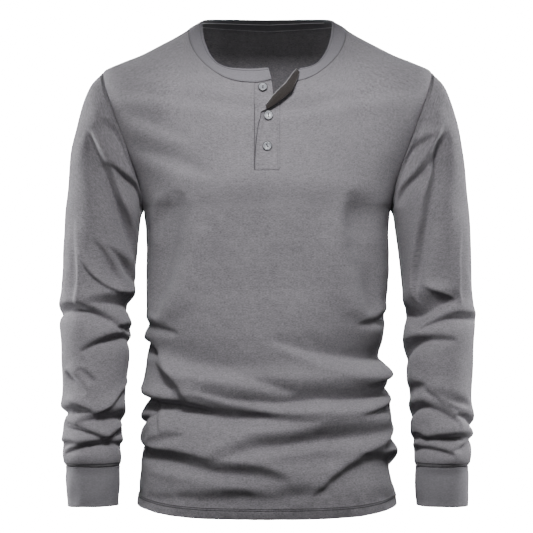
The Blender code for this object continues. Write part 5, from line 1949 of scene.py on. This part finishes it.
# -------- studio
class Studio:
    """The camera, the soft lights and the white surroundings.

    Places are worked out from the middle of the shirt's box.
    """

    LENS = 139.7
    CAMERA_PLACE = (-0.0012, -3.0, -0.3386)
    FLAG_STANDOFF = 0.50
    # The round room: its floor and ceiling from the middle of the shirt, then its radii
    FLOOR = -3.2
    CEILING = 5.0
    WALL = 6.0
    COVE = 0.8
    DRAIN = 0.02
    SIDES = 64

    def __init__(self, bounds: tuple) -> None:
        """Keep the shirt's box, which the studio is laid out round.

        Args:
            bounds: the shirt's lowest and highest corners.
        """
        low, high = (np.array(corner) for corner in bounds)
        self.middle = (low + high) / 2
        self.size = high - low

    def camera(self) -> None:
        """Look straight at the front of the shirt from three metres off."""
        data = bpy.data.cameras.new("camera")
        data.lens = self.LENS
        data.sensor_width = 36
        data.clip_end = 50
        thing = new_object("camera", data)
        thing.location = self.CAMERA_PLACE
        thing.rotation_euler = (math.radians(90), 0, 0)
        bpy.context.scene.camera = thing

    @staticmethod
    def lamp(name: str, place: Sequence[float], aim: Sequence[float], size: Sequence[float],
             power: float) -> None:
        """Put a soft rectangular light at a place, aimed at a point."""
        data = bpy.data.lights.new(name, "AREA")
        data.shape = "RECTANGLE"
        data.size, data.size_y = size
        data.energy = power
        thing = new_object(name, data)
        thing.location = place
        way = Vector(aim) - Vector(place)
        thing.rotation_euler = way.to_track_quat("-Z", "Y").to_euler()
        thing.visible_camera = False

    def lights(self) -> None:
        """Light the shirt from close above its front, and softly along both sides."""
        x, y, z = self.middle
        top = z + self.size[2] / 2
        self.lamp("key", (x - 0.03, y - 1.25, z + 0.88), aim=(x, y - 0.10, z),
                  size=(0.36, 0.30), power=24.0)
        self.lamp("neck", (x, y - 0.36, top - 0.01), aim=(x, y + 0.06, top),
                  size=(0.10, 0.05), power=0.08)
        self.lamp("back", (x + 1.3, y + 2.2, z + 0.6), aim=(x, y, z), size=(1.0, 0.8), power=34.0)
        self.lamp("fill", (x - 0.3, y - 2.5, z + 0.2), aim=(x, y, z - 0.1), size=(1.2, 0.8),
                  power=4.6)
        for side, rim_power in ((Side.RIGHT, 42.0), (Side.LEFT, 32.0)):
            near = (x + side.value * 0.2, y, z)
            self.lamp("side_" + side.word, (x + side.value * 1.3, y - 0.08, z + 0.75), aim=near,
                      size=(0.4, 0.8), power=4.0)
            self.lamp("rim_" + side.word, (x + side.value * 1.5, y + 0.55, z + 0.1), aim=near,
                      size=(0.4, 1.6), power=rim_power)

    def flag(self, name: str, across: Sequence[float], low: Sequence[float],
             high: Sequence[float]) -> None:
        """Hang an unseen card that only takes light away.

        Args:
            name: its name.
            across: how far its two sides lie from the middle of the shirt.
            low: y and z of its lower edge.
            high: y and z of its upper edge.
        """
        corners = [(self.middle[0] + side, *edge) for edge in (low, high) for side in across]
        card = mesh_object(name, np.array(corners), np.array([(0, 1, 3, 2)]))
        for seen_by in ("visible_camera", "visible_diffuse", "visible_glossy",
                        "visible_transmission"):
            setattr(card, seen_by, False)

    def flags(self) -> None:
        """Shade the inside of the neck, the shoulders, the hem and both sleeves from the key."""
        z, front = self.middle[2], self.middle[1] - self.FLAG_STANDOFF
        top = CAD_BOUNDS[1][2]
        self.flag("neck_flag", (-0.085, 0.085), (-0.13, top + 0.019), (-0.23, top + 0.20))
        self.flag("brow_flag", (-0.6, 0.6), (front, z + 0.535), (front, z + 0.95))
        self.flag("hem_flag", (-0.6, 0.6), (front, z - 0.40), (front, z + 0.055))
        for side in Side:
            self.flag("sleeve_flag_" + side.word, (side.value * 0.155, side.value * 0.60),
                      (front, z + 0.36), (front, z + 0.80))

    @staticmethod
    def paper(floor: float) -> Material:
        """Return white paper that glows from the floor up."""
        material = bpy.data.materials.new("paper_white")
        material.use_nodes = True
        tree = material.node_tree
        place = new_node(tree, "ShaderNodeTexCoord").outputs["Object"]
        split = new_node(tree, "ShaderNodeSeparateXYZ", {"Vector": place})
        glow = new_node(tree, "ShaderNodeMapRange", {
            "Value": split.outputs["Z"], "From Min": floor + 0.02, "From Max": floor + 1.2,
            "To Min": 3.0, "To Max": 20.0})
        set_inputs(tree.nodes["Principled BSDF"], {
            "Base Color": (0.92, 0.92, 0.92, 1), "Roughness": 0.9,
            "Emission Color": (1, 1, 1, 1), "Emission Strength": glow})
        return material

    @staticmethod
    def sky() -> World:
        """Return a soft white dome, brightest overhead."""
        world = bpy.data.worlds.new("studio")
        world.use_nodes = True
        tree = world.node_tree
        way = new_node(tree, "ShaderNodeTexCoord").outputs["Generated"]
        split = new_node(tree, "ShaderNodeSeparateXYZ", {"Vector": way})
        dome = new_node(tree, "ShaderNodeMapRange", {
            "Value": split.outputs["Z"], "From Min": -0.3, "From Max": 0.8,
            "To Min": 0.035, "To Max": 0.16})
        set_inputs(tree.nodes["Background"], {"Color": (1, 1, 1, 1), "Strength": dome})
        return world

    def surroundings(self) -> None:
        """Build a round white room whose wall curves into a pale floor, and a soft sky."""
        x, y, z = self.middle
        floor, ceiling = z + self.FLOOR, z + self.CEILING
        cove = [(self.WALL - self.COVE + self.COVE * math.sin(angle),
                 floor + self.COVE - self.COVE * math.cos(angle))
                for angle in np.linspace(0, math.pi / 2, 9)]
        profile = [(self.DRAIN, floor), *cove, (self.WALL, ceiling), (self.DRAIN, ceiling)]
        angles = round_ring(self.SIDES)
        points = np.array([(x + reach * math.cos(angle), y + reach * math.sin(angle), height)
                           for reach, height in profile for angle in angles])
        faces = np.array([(near + i, near + j, near + self.SIDES + j, near + self.SIDES + i)
                          for near in range(0, len(points) - self.SIDES, self.SIDES)
                          for i, j in zip(range(self.SIDES), [*range(1, self.SIDES), 0])])
        room = mesh_object("backdrop", points, faces)
        room.data.materials.append(self.paper(floor))
        for seen_by in ("visible_diffuse", "visible_glossy", "visible_shadow"):
            setattr(room, seen_by, False)
        bpy.context.scene.world = self.sky()

    def build(self) -> None:
        """Set the studio up."""
        self.camera()
        self.lights()
        self.flags()
        self.surroundings()


def main() -> None:
    """Build the shirt's looks piece by piece, then the studio."""
    logging.basicConfig(level=logging.INFO, format="%(message)s")
    form = TorsoForm(TORSO_RINGS)
    sewing = Sewing()
    LOG.info("torso")
    surfaces = TorsoPieces(TorsoPanels(form)).build()
    for panel, surface in surfaces.items():
        sewing.hem(panel, surface)
    for side in Side:
        LOG.info("%s sleeve", side.word)
        points, cuff = SleevePieces(SleeveForm(form, side)).build()
        sewing.sleeve(side, points, cuff)
    LOG.info("neck")
    band, under, over, facing = NeckPieces(form).build()
    sewing.neckband(band)
    sewing.placket(under, over, facing)
    LOG.info("buttons")
    for node, roll in (("button_top", 88.0), ("button_middle", 96.0), ("button_bottom", 119.0)):
        ButtonPiece(node, roll).build(form)
    LOG.info("studio")
    Studio(CAD_BOUNDS).build()


if __name__ == "__main__":
    main()
